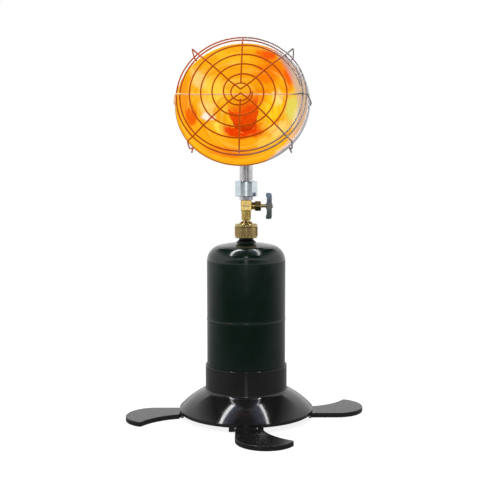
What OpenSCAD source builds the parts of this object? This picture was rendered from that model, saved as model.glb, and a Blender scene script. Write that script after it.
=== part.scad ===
// Portable propane heater: a round radiant head on a disposable gas cylinder,
// standing in a moulded base with four swirl-shaped legs that fold flat under it.
// Millimetres, +Z up. The origin is on the ground, on the cylinder's axis.
// The head faces -Y and the control knob points to +X.

/* [Base] */
// Diameter of the skirt at its lower edge
skirt_d = 168.4; // [164:0.2:180]
// Height of the skirt's lower edge above the ground
skirt_z = 7; // [6.6:0.1:9]
// Height of the upright lip at the skirt's edge
skirt_lip = 4; // [2:0.1:5]
// Height at which the skirt meets the collar
collar_z = 34.8; // [30:0.2:42]
// Height of the collar's top edge
collar_top = 66.7; // [55:0.1:80]
// Wall of the moulded base
base_wall = 1.8; // [1.4:0.1:2.4]
// Thickness of the floor that the cylinder stands on
base_floor = 2.4; // [1.6:0.1:4]
// Height of the cylinder's foot above the ground
seat_z = 16; // [14:0.2:20]
// Hole in the middle of the base's floor
drain_d = 34; // [20:1:60]
// Angle that the base is turned under the heater
base_turn = 0; // [-20:0.5:20]

/* [Legs] */
// Thickness of a leg
leg_t = 6; // [5:0.1:6.4]
// Reach of a leg from the cylinder's axis
leg_reach = 150.3; // [146:0.1:153]
// Distance of the hinge pins inside the skirt's edge
hinge_in = 4.2; // [3.8:0.1:5.2]
// Height of the hinge pins above the ground
hinge_z = 3.6; // [3.4:0.1:4]
// Diameter of a hinge pin
hinge_pin_d = 2.2; // [1.6:0.1:2.4]
// Width of a leg's root between its two lugs
leg_root_w = 26.4; // [22:0.2:28]
// Width of each lug
lug_w = 7.2; // [5:0.2:9]
// Radius of a leg's big outer curve
leg_curve_r = 35.6; // [32:0.1:35.8]
// Radius of a leg's hollow edge
leg_hollow_r = 68.3; // [60:0.5:80]
// Radius of a leg's rounded tip
leg_tip_r = 3.2; // [2:0.1:5]

/* [Gas cylinder] */
// Outer diameter of the gas cylinder
cyl_d = 98.5; // [96:0.5:100]
// Length from the cylinder's foot to the top of its dome
cyl_len = 205; // [190:1:215]
// Steel wall of the cylinder
cyl_wall = 1.1; // [0.8:0.1:1.4]
// Radius of the knuckle between side and dome
knuckle_r = 20; // [14:1:24]
// Radius of the shallow crown
crown_r = 155; // [120:1:200]
// Height of the welded seam above the foot
seam_up = 108.7; // [80:0.1:130]
// Width of the weld bead
bead_w = 6.4; // [3:0.2:8]

/* [Cylinder valve] */
// Diameter of the valve's thread
thread_d = 25.4; // [24.8:0.1:25.6]
// Length of the threaded part
thread_len = 10.4; // [8:0.2:11]
// Diameter of the neck under the thread
neck_d = 17.5; // [16:0.5:20]
// Length of the neck above the dome
neck_len = 5.4; // [5:0.1:8]
// Bore of the valve's socket
socket_d = 12.6; // [11.6:0.1:13.4]

/* [Coupling] */
// Outer diameter over the knurl of the coupling nut
nut_d = 28.8; // [28.2:0.1:34]
// Length of the coupling nut
nut_len = 17.5; // [17:0.1:21]
// Length of the knurled band
knurl_len = 11; // [8:0.5:12]
// Number of knurl grooves
knurl_count = 40; // [30:1:48]
// Diameter of the inlet's cone above the nut
cone_d = 17.2; // [15:0.2:20]
// Diameter of the narrow neck over the cone
inlet_d = 10; // [9:0.2:11]

/* [Valve] */
// Width of the valve block
block_w = 13.4; // [13:0.2:18]
// Height of the valve block
block_h = 13; // [12.6:0.2:18]
// Diameter of the round stalk under the block
stalk_d = 12.1; // [11.4:0.1:13]
// Length of the round stalk
stalk_len = 11.4; // [9:0.2:16]
// Diameter of the needle stem
stem_d = 4.3; // [3.8:0.1:4.8]
// Corner-to-corner width of the packing nut
gland_d = 14.2; // [13.4:0.2:17]
// Length of the packing nut
gland_len = 7.6; // [7:0.2:10]
// Length of bare stem between packing nut and knob
stem_show = 6; // [4:0.2:9]
// Length of the bar knob
knob_len = 32.3; // [28:0.1:40]
// Thickness of the bar knob at its ends
knob_t = 7.3; // [6:0.1:9]
// Width of the bar knob
knob_w = 9.6; // [8.6:0.2:12]
// Diameter of the gas passage
gas_d = 3.4; // [2.6:0.2:3.8]

/* [Mixer] */
// Corner-to-corner width of the hexagonal air shroud
hex_d = 28; // [26.4:0.2:34]
// Height of the air shroud
hex_h = 19.4; // [16:0.2:26]
// Height of the collar under the shroud
collar_h = 4.5; // [3.5:0.1:7]
// Outer diameter of the mixing tube
tube_d = 16.5; // [15.5:0.1:17]
// Wall of the mixing tube
tube_wall = 1; // [0.8:0.1:1.4]
// Centre-line radius of the tube's bend
bend_r = 22; // [18:1:28]
// Diameter of the air holes in the tube
air_hole_d = 6; // [4:0.2:7]

/* [Head] */
// Height of the reflector rim's centre
head_z = 390; // [380:0.5:410]
// Upward tilt of the head
head_tilt = 24; // [10:0.5:30]
// Sideways turn of the head on the tube
head_turn = -3.9; // [-10:0.1:10]
// Outer diameter of the reflector's rolled rim
rim_d = 158.2; // [150:0.2:165]
// Radius of the rolled rim
rim_roll = 1.9; // [1.5:0.1:2.4]
// Depth of the reflector bowl
bowl_depth = 46; // [42:1:54]
// Sheet thickness of the reflector
bowl_wall = 0.8; // [0.6:0.1:1.2]
// Diameter of the burner's cap
burner_d = 38; // [34:0.5:46]
// How far the burner's cap stands in front of the rim
burner_out = 20; // [10:0.5:22]
// Length of the burner's slotted screen
screen_len = 28; // [20:0.5:30]
// Number of slots in the burner's screen
slot_count = 20; // [12:1:24]

/* [Guard] */
// Wire diameter of the guard
wire_d = 2; // [1.6:0.1:2.2]
// How far the guard's middle stands in front of the rim
guard_rise = 29; // [26:0.5:36]
// How far the guard's outer ring stands in front of the rim
edge_rise = 21; // [16:0.5:24]
// Radius of the guard's outer ring
edge_r = 74.8; // [72:0.1:76]
// Gap between the two rings at the guard's edge
edge_gap = 4.2; // [3.2:0.1:6]
// Radius of the guard's small centre ring
ring_r = 11.2; // [9:0.1:12]
// Distance between two turns of the spiral
spiral_pitch = 13.2; // [12:0.1:15]
// How far the corner hooks stand out past the side hooks
hook_reach = 3.2; // [0:0.2:5]

/* [Fits] */
// Running clearance between turning or sliding pieces
run_gap = 0.1; // [0.05:0.01:0.1]
// Clearance between pieces that are fixed together
fit_gap = 0.05; // [0.02:0.01:0.08]
// Loose clearance between separate mouldings
loose_gap = 0.3; // [0.25:0.05:0.5]

/* [Hidden] */
$fn = 96;

// Base and legs
skirt_r = skirt_d / 2;
collar_in = cyl_d / 2 + loose_gap;
collar_out = collar_in + base_wall;
skirt_bulge = 2.1;
skirt_steps = 6;
skirt_drop = collar_z - skirt_z - skirt_lip;
skirt_run = skirt_r - collar_out;
skirt_len = norm([skirt_drop, skirt_run]);
leg_count = 4;
hinge_r = skirt_r - hinge_in;
root_half = leg_root_w / 2;
leg_curve = [leg_reach - leg_curve_r, leg_curve_r - root_half];
leg_hollow = [hinge_r - 12.4, 17.9 + leg_hollow_r];
lug_half = root_half + loose_gap + lug_w;
lug_r = hinge_pin_d / 2 + 1.1;
root_r = leg_t - hinge_z;
blade_start = lug_r + 1.2;
rest_half = root_half - 2;
rest_t = 1.4;
rib_t = 1.8;
rib_z = skirt_z + 1.4;

// Gas cylinder
cyl_r = cyl_d / 2;
dome_top = seat_z + cyl_len;
seam_z = seat_z + seam_up;
bead_proud = 0.45;
sleeve_len = 6;
lower_bottom = seat_z + 4;
knuckle_x = cyl_r - knuckle_r;
crown_drop = sqrt(pow(crown_r - knuckle_r, 2) - pow(knuckle_x, 2));
knuckle_z = dome_top - crown_r + crown_drop;
knuckle_end = 90 - asin(knuckle_x / (crown_r - knuckle_r));
foot_r = cyl_r - 5;
foot_wall = 1.2;
foot_top = lower_bottom + dome_top - knuckle_z
    - sqrt(pow(knuckle_r, 2) - pow(foot_r - foot_wall - knuckle_x, 2)) - fit_gap;

// Cylinder valve
neck_r = neck_d / 2;
neck_top = dome_top + neck_len;
thread_r = thread_d / 2;
thread_z = neck_top + 0.6;
thread_top = thread_z + thread_len;
boss_stub_r = 10;
boss_flare_r = 12.2;
boss_flare_z = dome_top - 0.25;
socket_r = socket_d / 2;
socket_z = thread_top - 8.4;
core_bore_r = 3.3;
core_seat_z = dome_top - 1;
core_room_r = 5.6;
core_disc_r = 4.9;
core_disc_t = 1.6;
core_disc_z = core_seat_z - 1.4 - core_disc_t;
core_top = socket_z + 0.4;
spring_wire = 0.9;
spring_r = 3.9;
spring_turns = 3;
spring_pitch = 2.2;
spring_len = spring_turns * spring_pitch;
spring_z = core_disc_z - spring_len - spring_wire - fit_gap;
boss_lip_t = 1.2;
boss_bottom = spring_z - boss_lip_t - fit_gap;
relief_r = 4;
relief_at = 24;

// Coupling and inlet
nut_r = nut_d / 2;
nut_z = neck_top + 0.1;
nut_top = nut_z + nut_len;
nut_bore_r = thread_r + run_gap;
knurl_z = nut_z + 2.7;
knurl_cut = 0.55;
web_t = 3.1;
cone_r = cone_d / 2;
swivel_r = 6.4;
flange_r = 10.6;
flange_t = 2.4;
flange_top = nut_top - web_t - run_gap;
flange_z = flange_top - flange_t;
cone_z = nut_top + run_gap;
cone_h = 3;
inlet_r = inlet_d / 2;
inlet_top = cone_z + cone_h + 2.1;
inlet_spigot = 4;
inlet_spigot_r = 3.6;
nose_r = socket_r - 1.6;
nose_z = socket_z + 2;
seal_z = socket_z + 3.4;
seal_t = 2.4;
depressor_r = 1.1;
gas_r = gas_d / 2;

// Valve
stalk_r = stalk_d / 2;
block_z = inlet_top + stalk_len;
block_top = block_z + block_h;
block_half = block_w / 2;
arm_z = block_z + block_h / 2 - 0.8;
arm_r = 4.6;
arm_thread_r = 5.2;
arm_len = 4;
arm_thread_len = 4.4;
gland_x = block_half + arm_len + 0.3;
gland_end = gland_x + gland_len;
gland_skin = 1.6;
packing_x = block_half + arm_len + arm_thread_len + fit_gap;
packing_len = gland_end - gland_skin - packing_x - fit_gap;
stem_r = stem_d / 2;
stem_hole_r = stem_r + run_gap;
seat_x = -1.6;
seat_r = 0.8;
needle_len = 3.4;
knob_x = gland_end + stem_show;
knob_bar_t = knob_t - 1;
knob_lip_w = 3.6;
knob_hub_r = 4;
knob_hub_len = 4;
knob_screw_r = 1.3;
knob_screw_len = 7;
knob_screw_head_r = 2.9;
knob_screw_head_t = 1.6;
plug_r = 3.2;
plug_head_r = 4.3;
plug_head_t = 1.4;
plug_len = 3;
jet_r = 3;
jet_sink = 4;
jet_up = 5;

// Mixer
tube_r = tube_d / 2;
tube_in = tube_r - tube_wall;
collar_r = tube_r + 0.25;
collar_spigot_r = 4.6;
collar_spigot = 1.6;
tube_socket_len = 3;
hex_z = block_top + collar_h;
hex_top = hex_z + hex_h;
hex_bevel = 1.5;
shroud_roof = 4;
shroud_bore_r = tube_r + 2.3;

// Head
rim_r = rim_d / 2 - rim_roll;
bowl_seat_r = 15.5;
neck_out = 11;
head_neck_r = tube_r + 1.7;
clamp_t = 4.5;
washer_t = 1.2;
clamp_flats = 28;
bend_turn = 90 - head_tilt;
tangent_len = bend_r * tan(bend_turn / 2);
bend_lap = 0.5;
bend_thin = 0.02;
axis_run = bowl_depth + neck_out + 1 + tangent_len;
head_out = axis_run * cos(head_tilt);
bend_z = head_z - axis_run * sin(head_tilt) - tangent_len;
cup_flange_r = 14.6;
cup_flange_t = 1.6;
cup_z = -bowl_depth + bowl_wall + fit_gap;
burner_r = burner_d / 2;
cap_skirt = 4.6;
cap_dome = 4.4;
cap_z = burner_out - cap_skirt - cap_dome;
cap_wall = 1;
screen_r = burner_r - 1.2;
screen_wall = 1;
screen_z = cap_z - screen_len;
slot_w = 1.4;
bell_top = screen_z - fit_gap;
bell_r = screen_r;

// Guard
wire_r = wire_d / 2;
edge_in_r = edge_r - edge_gap;
guard_power = 3.2;
spiral_start_r = ring_r + wire_d + 0.1;
spiral_end_r = edge_in_r - wire_d - 0.1;
spiral_flare = 3.2;
spiral_turns = (spiral_end_r - spiral_flare - spiral_start_r) / spiral_pitch;
spiral_steps = 32;
wire_sides = 8;
spoke_lift = wire_d + 0.1;
spoke_end_r = edge_r - 0.8;
spoke_steps = 9;
side_flat_r = spiral_end_r - 7.5;
side_z = guard_face(side_flat_r) - spoke_lift;
hook_grip = rim_roll + wire_r + 0.1;
side_hook_r = rim_r + hook_grip + 0.05;
side_hook_lean = 2.6;
side_tail = 5.2;
corner_hook_r = side_hook_r + hook_reach;
corner_tail = 10.6;

// ---------- shared shapes ----------

// Crossing of two circles, on the right of the line from a to b
function crossing(a, ra, b, rb) =
    let (d = norm(b - a))
    let (along = (ra * ra - rb * rb + d * d) / (2 * d))
    let (side = sqrt(ra * ra - along * along))
    let (u = (b - a) / d)
    a + along * u + side * [u.y, -u.x];

// Points on an arc, from one angle to another
function arc(c, r, from, to, steps) =
    [for (i = [0:steps])
        let (a = from + (to - from) * i / steps)
        c + r * [cos(a), sin(a)]];

function turned_back(points) = [for (i = [len(points) - 1:-1:0]) points[i]];

module ring(r_out, r_in, h) {
    difference() {
        cylinder(r = r_out, h = h);
        translate([0, 0, -1]) cylinder(r = r_in, h = h + 2);
    }
}

module torus(r, wire) {
    rotate_extrude() translate([r, 0]) circle(r = wire, $fn = 24);
}

module along_x() {
    rotate([0, 90, 0]) children();
}

// A round wire along a path of points; up is a direction that the path never follows
module wire_along(path, up, r) {
    last = len(path) - 1;
    ahead = [for (i = [0:last]) path[min(i + 1, last)] - path[max(i - 1, 0)]];
    across = [for (i = [0:last]) cross(ahead[i], up) / norm(cross(ahead[i], up))];
    out = [for (i = [0:last]) cross(across[i], ahead[i]) / norm(ahead[i])];
    skin = [for (i = [0:last], k = [0:wire_sides - 1])
        let (a = 360 * k / wire_sides)
        path[i] + r * (cos(a) * out[i] + sin(a) * across[i])];
    walls = [for (i = [0:last - 1], k = [0:wire_sides - 1], half = [0, 1])
        let (n = (k + 1) % wire_sides)
        let (low = i * wire_sides)
        let (high = low + wire_sides)
        half == 0 ? [low + k, low + n, high + n] : [low + k, high + n, high + k]];
    start = [for (k = [wire_sides - 1:-1:0]) k];
    end = [for (k = [0:wire_sides - 1]) last * wire_sides + k];
    polyhedron(points = skin, faces = concat(walls, [start, end]), convexity = 10);
}

// The head's own frame: rim centre at the origin, +Z out of the bowl, +Y up
module at_head() {
    rotate([0, 0, head_turn])
        translate([0, -head_out, head_z])
            rotate([90 - head_tilt, 0, 0])
                children();
}

module at_leg(i) {
    rotate([0, 0, base_turn + 360 * i / leg_count]) children();
}

// ---------- base ----------

// Line of the skirt from the collar down to the lip, bowed outwards
function skirt_line(inset) =
    [for (i = [0:skirt_steps])
        let (s = i / skirt_steps)
        let (bow = skirt_bulge * 4 * s * (1 - s) - inset)
        [collar_out + skirt_run * s + bow * skirt_drop / skirt_len,
         collar_z - skirt_drop * s + bow * skirt_run / skirt_len]];

module base_shell() {
    outer = skirt_line(0);
    inner = skirt_line(base_wall);
    under = [for (i = [skirt_steps - 1:-1:1]) inner[i]];
    rotate_extrude($fn = 160)
        polygon(concat(
            [[collar_in, collar_top], [collar_out, collar_top]],
            outer,
            [[skirt_r, skirt_z], [skirt_r - base_wall, skirt_z],
             [skirt_r - base_wall, skirt_z + skirt_lip - 0.4]],
            under,
            [[collar_out, inner[1].y + base_wall],
             [collar_out, seat_z - base_floor], [drain_d / 2, seat_z - base_floor],
             [drain_d / 2, seat_z], [collar_in, seat_z]]
        ));
}

// The room under the skirt that lugs, rests and ribs may fill
module under_skirt() {
    inner = skirt_line(base_wall / 2);
    rotate_extrude($fn = 160)
        polygon(concat(
            [[collar_out - 0.5, 0], [skirt_r - base_wall / 2, 0],
             [skirt_r - base_wall / 2, skirt_z + skirt_lip - 0.4]],
            [for (i = [skirt_steps - 1:-1:1]) inner[i]],
            [[collar_out - 0.5, inner[1].y]]
        ));
}

module hinge_lug(side) {
    translate([hinge_r, side * (lug_half - lug_w / 2), hinge_z]) {
        rotate([90, 0, 0]) cylinder(r = lug_r, h = lug_w, center = true);
        translate([-lug_r, -lug_w / 2, 0]) cube([2 * lug_r, lug_w, collar_z]);
    }
    translate([collar_out - 1, side * (lug_half - lug_w / 2) - rib_t / 2, rib_z])
        cube([hinge_r - collar_out, rib_t, collar_z]);
}

// The pad under the skirt's lip that a leg bears against when it is out
module leg_rest() {
    translate([skirt_r - base_wall / 2 - rest_t, -rest_half, leg_t + run_gap])
        cube([2 * rest_t, 2 * rest_half, skirt_z + skirt_lip - leg_t]);
}

module pin_hole(r) {
    translate([hinge_r, 0, hinge_z]) rotate([90, 0, 0])
        cylinder(r = r, h = 2 * lug_half + 2, center = true);
}

module stand_base() {
    color([0.04, 0.04, 0.045])
        difference() {
            union() {
                base_shell();
                intersection() {
                    under_skirt();
                    for (i = [0:leg_count - 1])
                        at_leg(i) {
                            hinge_lug(-1);
                            hinge_lug(1);
                            leg_rest();
                        }
                }
            }
            for (i = [0:leg_count - 1])
                at_leg(i) pin_hole(hinge_pin_d / 2 + fit_gap);
        }
}

module hinge_pins() {
    color("silver")
        for (i = [0:leg_count - 1])
            at_leg(i)
                translate([hinge_r, 0, hinge_z]) rotate([90, 0, 0])
                    cylinder(d = hinge_pin_d, h = 2 * lug_half, center = true);
}

// Plan of one leg pointing along +X, with its swirl towards +Y
module leg_plan() {
    sharp = crossing(leg_curve, leg_curve_r, leg_hollow, leg_hollow_r);
    tip = crossing(leg_curve, leg_curve_r - leg_tip_r, leg_hollow, leg_hollow_r + leg_tip_r);
    outside = leg_curve + (tip - leg_curve) * leg_curve_r / (leg_curve_r - leg_tip_r);
    inside = leg_hollow + (tip - leg_hollow) * leg_hollow_r / (leg_hollow_r + leg_tip_r);
    wide = (outside - inside) / norm(outside - inside);
    far = (sharp - tip) / norm(sharp - tip) * 12;
    difference() {
        union() {
            intersection() {
                translate(leg_curve) circle(r = leg_curve_r, $fn = 160);
                translate([hinge_r + blade_start, -leg_curve_r])
                    square([leg_reach, 3 * leg_curve_r]);
            }
            polygon([
                [hinge_r + blade_start, -root_half], [leg_curve.x, -root_half],
                leg_curve, [hinge_r + blade_start, leg_curve.y],
            ]);
        }
        translate(leg_hollow) circle(r = leg_hollow_r, $fn = 160);
        polygon([inside - wide * 3, outside + wide * 3,
                 outside + wide * 3 + far, inside - wide * 3 + far]);
    }
    translate(tip) circle(r = leg_tip_r, $fn = 48);
}

module leg(i) {
    color([0.07, 0.07, 0.075])
        at_leg(i)
            difference() {
                union() {
                    linear_extrude(leg_t) leg_plan();
                    translate([hinge_r, -root_half, 0])
                        cube([blade_start + 1, 2 * root_half, leg_t]);
                    translate([hinge_r, 0, hinge_z]) rotate([90, 0, 0])
                        cylinder(r = root_r, h = 2 * root_half, center = true);
                }
                pin_hole(hinge_pin_d / 2 + run_gap);
            }
}

module leg_right() { leg(0); }
module leg_back() { leg(1); }
module leg_left() { leg(2); }
module leg_front() { leg(3); }

// ---------- gas cylinder ----------

// Half outline of the upper dome, from the side to the axis
function dome_line(inset) = concat(
    arc([knuckle_x, knuckle_z], knuckle_r - inset, 0, knuckle_end, 9),
    [for (i = [1:5])
        let (a = knuckle_end + (90 - knuckle_end) * i / 5)
        [(crown_r - inset) * cos(a), dome_top - crown_r + (crown_r - inset) * sin(a)]]
);

function lower_line(inset) =
    [for (q = dome_line(inset)) [q.x, lower_bottom + dome_top - q.y]];

module cylinder_upper() {
    color([0.05, 0.13, 0.10])
        difference() {
            rotate_extrude($fn = 160)
                polygon(concat(
                    [[cyl_r - 2 * cyl_wall, seam_z - sleeve_len],
                     [cyl_r - cyl_wall - fit_gap, seam_z - sleeve_len],
                     [cyl_r - cyl_wall - fit_gap, seam_z], [cyl_r, seam_z]],
                    dome_line(0),
                    turned_back(dome_line(cyl_wall)),
                    [[cyl_r - cyl_wall, seam_z + 3], [cyl_r - 2 * cyl_wall, seam_z + 1.5]]
                ));
            translate([0, 0, dome_top - 10])
                cylinder(r = boss_stub_r + fit_gap, h = 20);
            translate([0, relief_at, dome_top - 10])
                cylinder(r = relief_r + fit_gap, h = 20);
        }
}

module cylinder_lower() {
    color([0.05, 0.13, 0.10])
        rotate_extrude($fn = 160)
            polygon(concat(
                [[cyl_r, seam_z - fit_gap]],
                lower_line(0),
                turned_back(lower_line(cyl_wall)),
                [[cyl_r - cyl_wall, seam_z - fit_gap]]
            ));
}

module weld_bead() {
    color([0.05, 0.13, 0.10])
        rotate_extrude($fn = 160)
            polygon([
                [cyl_r + fit_gap / 2, seam_z - bead_w / 2],
                [cyl_r + bead_proud * 0.7, seam_z - bead_w * 0.36],
                [cyl_r + bead_proud, seam_z - bead_w * 0.15],
                [cyl_r + bead_proud, seam_z + bead_w * 0.15],
                [cyl_r + bead_proud * 0.7, seam_z + bead_w * 0.36],
                [cyl_r + fit_gap / 2, seam_z + bead_w / 2],
            ]);
}

module foot_ring() {
    color([0.05, 0.13, 0.10])
        translate([0, 0, seat_z + fit_gap])
            ring(foot_r, foot_r - foot_wall, foot_top - seat_z - fit_gap);
}

module valve_boss() {
    color([0.72, 0.68, 0.55])
        rotate_extrude()
            polygon([
                [boss_stub_r, boss_bottom], [boss_stub_r, boss_flare_z],
                [boss_flare_r, boss_flare_z], [boss_flare_r, boss_flare_z + 1],
                [neck_r, dome_top + 3], [neck_r, neck_top],
                [thread_r - 1, thread_z], [thread_r, thread_z + 1],
                [thread_r, thread_top - 1], [thread_r - 1, thread_top],
                [socket_r, thread_top], [socket_r, socket_z],
                [core_bore_r, socket_z], [core_bore_r, core_seat_z],
                [core_room_r, core_seat_z], [core_room_r, boss_bottom + boss_lip_t],
                [spring_r - 1, boss_bottom + boss_lip_t], [spring_r - 1, boss_bottom],
            ]);
}

module relief_valve() {
    color("silver")
        translate([0, relief_at, 0])
            rotate_extrude($fn = 64)
                polygon([
                    [0, dome_top - 7], [relief_r, dome_top - 7], [relief_r, dome_top + 0.8],
                    [relief_r - 0.8, dome_top + 1.6], [2.2, dome_top + 1.6],
                    [2.2, dome_top + 0.4], [0, dome_top + 0.4],
                ]);
}

module valve_core() {
    color([0.75, 0.62, 0.35]) {
        translate([0, 0, core_disc_z]) cylinder(r = core_disc_r, h = core_disc_t);
        translate([0, 0, core_disc_z])
            difference() {
                cylinder(r = core_bore_r - run_gap, h = core_top - core_disc_z);
                for (a = [0, 120, 240])
                    rotate([0, 0, a])
                        translate([core_bore_r, 0, core_disc_t])
                            cylinder(r = 0.9, h = 20, $fn = 24);
            }
    }
}

module core_spring() {
    steps = 20;
    path = [for (i = [0:spring_turns * steps])
        let (a = 360 * i / steps)
        [spring_r * cos(a), spring_r * sin(a), spring_pitch * i / steps]];
    color("silver")
        translate([0, 0, spring_z + spring_wire / 2])
            wire_along(path, [0, 0, 1], spring_wire / 2);
}

// ---------- coupling and inlet ----------

module coupling_nut() {
    color([0.78, 0.70, 0.50])
        difference() {
            rotate_extrude($fn = 120)
                polygon([
                    [nut_bore_r + 0.3, nut_z], [nut_r - 1, nut_z],
                    [nut_r - 0.6, nut_z + 0.8], [nut_r - 0.6, knurl_z - 0.3],
                    [nut_r, knurl_z], [nut_r, knurl_z + knurl_len],
                    [nut_r - 0.6, knurl_z + knurl_len + 0.3], [nut_r - 0.6, nut_top - 0.8],
                    [nut_r - 1.4, nut_top], [swivel_r + run_gap, nut_top],
                    [swivel_r + run_gap, nut_top - web_t], [nut_bore_r, nut_top - web_t],
                    [nut_bore_r, nut_z + 0.6],
                ]);
            for (i = [0:knurl_count - 1])
                rotate([0, 0, 360 * i / knurl_count])
                    translate([nut_r + 0.25, 0, knurl_z + 0.5])
                        cylinder(r = knurl_cut + 0.25, h = knurl_len - 1, $fn = 12);
        }
}

module inlet_nipple() {
    color([0.80, 0.66, 0.38])
        rotate_extrude()
            polygon([
                [gas_r, nose_z], [nose_r - 0.6, nose_z], [nose_r, nose_z + 0.8],
                [nose_r, flange_z], [flange_r, flange_z], [flange_r, flange_top],
                [swivel_r, flange_top], [swivel_r, cone_z], [cone_r - 1, cone_z],
                [cone_r, cone_z + 0.6], [cone_r, cone_z + 1.2], [inlet_r + 1.2, cone_z + cone_h],
                [inlet_r, cone_z + cone_h], [inlet_r, inlet_top], [inlet_spigot_r, inlet_top],
                [inlet_spigot_r, inlet_top + inlet_spigot], [gas_r, inlet_top + inlet_spigot],
            ]);
}

module depressor_pin() {
    color("silver") {
        translate([0, 0, core_top + fit_gap])
            cylinder(r = depressor_r, h = nose_z + 3 - core_top, $fn = 48);
        translate([0, 0, nose_z + 0.6])
            intersection() {
                cylinder(r = gas_r - 0.02, h = 2.4);
                translate([-5, -0.7, 0]) cube([10, 1.4, 2.4]);
            }
    }
}

module inlet_seal() {
    color([0.06, 0.06, 0.06])
        translate([0, 0, seal_z])
            ring(socket_r - fit_gap, nose_r + fit_gap, seal_t);
}

// ---------- valve ----------

module valve_body() {
    color([0.82, 0.63, 0.30])
        difference() {
            union() {
                translate([0, 0, inlet_top]) cylinder(r = stalk_r, h = stalk_len + 1);
                translate([-block_half, -block_half, block_z]) cube([block_w, block_w, block_h]);
                translate([0, 0, arm_z]) along_x() {
                    cylinder(r = arm_r, h = block_half + arm_len);
                    cylinder(r = arm_thread_r - 0.6, h = block_half + arm_len + arm_thread_len);
                    translate([0, 0, block_half + arm_len])
                        cylinder(r = arm_thread_r, h = arm_thread_len);
                }
            }
            translate([0, 0, inlet_top - 1])
                cylinder(r = inlet_spigot_r + fit_gap, h = inlet_spigot + 1.2);
            translate([0, 0, inlet_top]) cylinder(r = gas_r, h = arm_z - inlet_top);
            translate([seat_x, 0, arm_z]) along_x()
                cylinder(r = stem_hole_r, h = block_w + arm_len + arm_thread_len);
            translate([seat_x - 2, 0, arm_z]) along_x() cylinder(r = seat_r, h = 4, $fn = 32);
            translate([seat_x - 1.2, 0, arm_z])
                cylinder(r = seat_r, h = block_top - arm_z, $fn = 32);
            translate([0, 0, block_top - jet_sink - 0.4])
                cylinder(r = jet_r + fit_gap, h = jet_sink + 2);
            translate([0, 0, block_top - collar_spigot - 0.1])
                cylinder(r = collar_spigot_r + fit_gap, h = collar_spigot + 2);
            translate([0, -block_half - 1, arm_z]) rotate([-90, 0, 0])
                cylinder(r = plug_r + fit_gap, h = plug_len + 1.2);
            translate([0, -block_half, arm_z]) rotate([-90, 0, 0])
                cylinder(r = 1, h = block_half, $fn = 32);
        }
}

module blanking_plug() {
    color([0.86, 0.70, 0.38])
        translate([0, -block_half, arm_z]) rotate([90, 0, 0])
            difference() {
                union() {
                    translate([0, 0, -plug_len]) cylinder(r = plug_r, h = plug_len + 0.5);
                    translate([0, 0, fit_gap]) cylinder(r = plug_head_r, h = plug_head_t);
                }
                translate([-5, -0.6, plug_head_t - 0.8]) cube([10, 1.2, 2]);
            }
}

module packing_nut() {
    color([0.84, 0.68, 0.36])
        translate([gland_x, 0, arm_z]) along_x()
            difference() {
                intersection() {
                    rotate([0, 0, 30]) cylinder(d = gland_d, h = gland_len, $fn = 6);
                    rotate_extrude()
                        polygon([
                            [0, 0], [gland_d / 2 - 0.8, 0], [gland_d / 2, 0.6],
                            [gland_d / 2, gland_len - 1.4], [gland_d / 2 - 1.4, gland_len],
                            [0, gland_len],
                        ]);
                }
                translate([0, 0, -1])
                    cylinder(r = arm_thread_r + fit_gap, h = gland_len - gland_skin + 1);
                cylinder(r = stem_hole_r, h = gland_len + 1);
            }
}

module packing_ring() {
    color([0.9, 0.9, 0.88])
        translate([packing_x, 0, arm_z]) along_x()
            ring(arm_thread_r - fit_gap, stem_hole_r, packing_len);
}

module needle_stem() {
    knob_seat = knob_x + knob_bar_t - 1.2 - seat_x;
    color([0.85, 0.80, 0.62])
        translate([seat_x, 0, arm_z]) along_x()
            difference() {
                rotate_extrude($fn = 64)
                    polygon([
                        [0, -0.6], [seat_r * 0.4, -0.6], [seat_r, 0.2], [stem_r, needle_len],
                        [stem_r, knob_seat], [0, knob_seat],
                    ]);
                translate([0, 0, knob_seat - knob_screw_len + 1])
                    cylinder(r = knob_screw_r + fit_gap, h = knob_screw_len, $fn = 48);
            }
}

// Outline of the bar knob, seen along its length's side: x away from the valve, y along the bar
module knob_side() {
    half = knob_len / 2;
    polygon([
        [0, half - knob_lip_w], [0, half - 0.8], [0.8, half], [knob_t - 2, half],
        [knob_t - 0.6, half - 0.8], [knob_t, half - 3], [knob_t, -half + 3],
        [knob_t - 0.6, -half + 0.8], [knob_t - 2, -half], [0.8, -half],
        [0, -half + 0.8], [0, -half + knob_lip_w], [knob_t - knob_bar_t, -half + knob_lip_w + 2],
        [knob_t - knob_bar_t, half - knob_lip_w - 2],
    ]);
}

module knob() {
    color([0.24, 0.28, 0.32])
        translate([knob_x, 0, arm_z])
            difference() {
                union() {
                    translate([0, knob_w / 2, 0]) rotate([90, 0, 0])
                        linear_extrude(knob_w) knob_side();
                    along_x() cylinder(r = knob_hub_r, h = knob_t);
                }
                along_x()
                    translate([0, 0, -1])
                        cylinder(r = stem_r + fit_gap, h = knob_bar_t);
                along_x()
                    cylinder(r = knob_screw_r + 0.2, h = knob_t + 1, $fn = 48);
            }
}

module knob_screw() {
    color("silver")
        translate([knob_x + knob_t + fit_gap, 0, arm_z]) along_x()
            difference() {
                union() {
                    translate([0, 0, -knob_screw_len])
                        cylinder(r = knob_screw_r, h = knob_screw_len + 0.2, $fn = 48);
                    rotate_extrude($fn = 64)
                        polygon([
                            [0, 0], [knob_screw_head_r, 0],
                            [knob_screw_head_r, knob_screw_head_t * 0.4],
                            [knob_screw_head_r * 0.55, knob_screw_head_t],
                            [0, knob_screw_head_t],
                        ]);
                }
                translate([-0.4, -4, knob_screw_head_t - 0.8]) cube([0.8, 8, 2]);
            }
}

// ---------- mixer ----------

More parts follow.
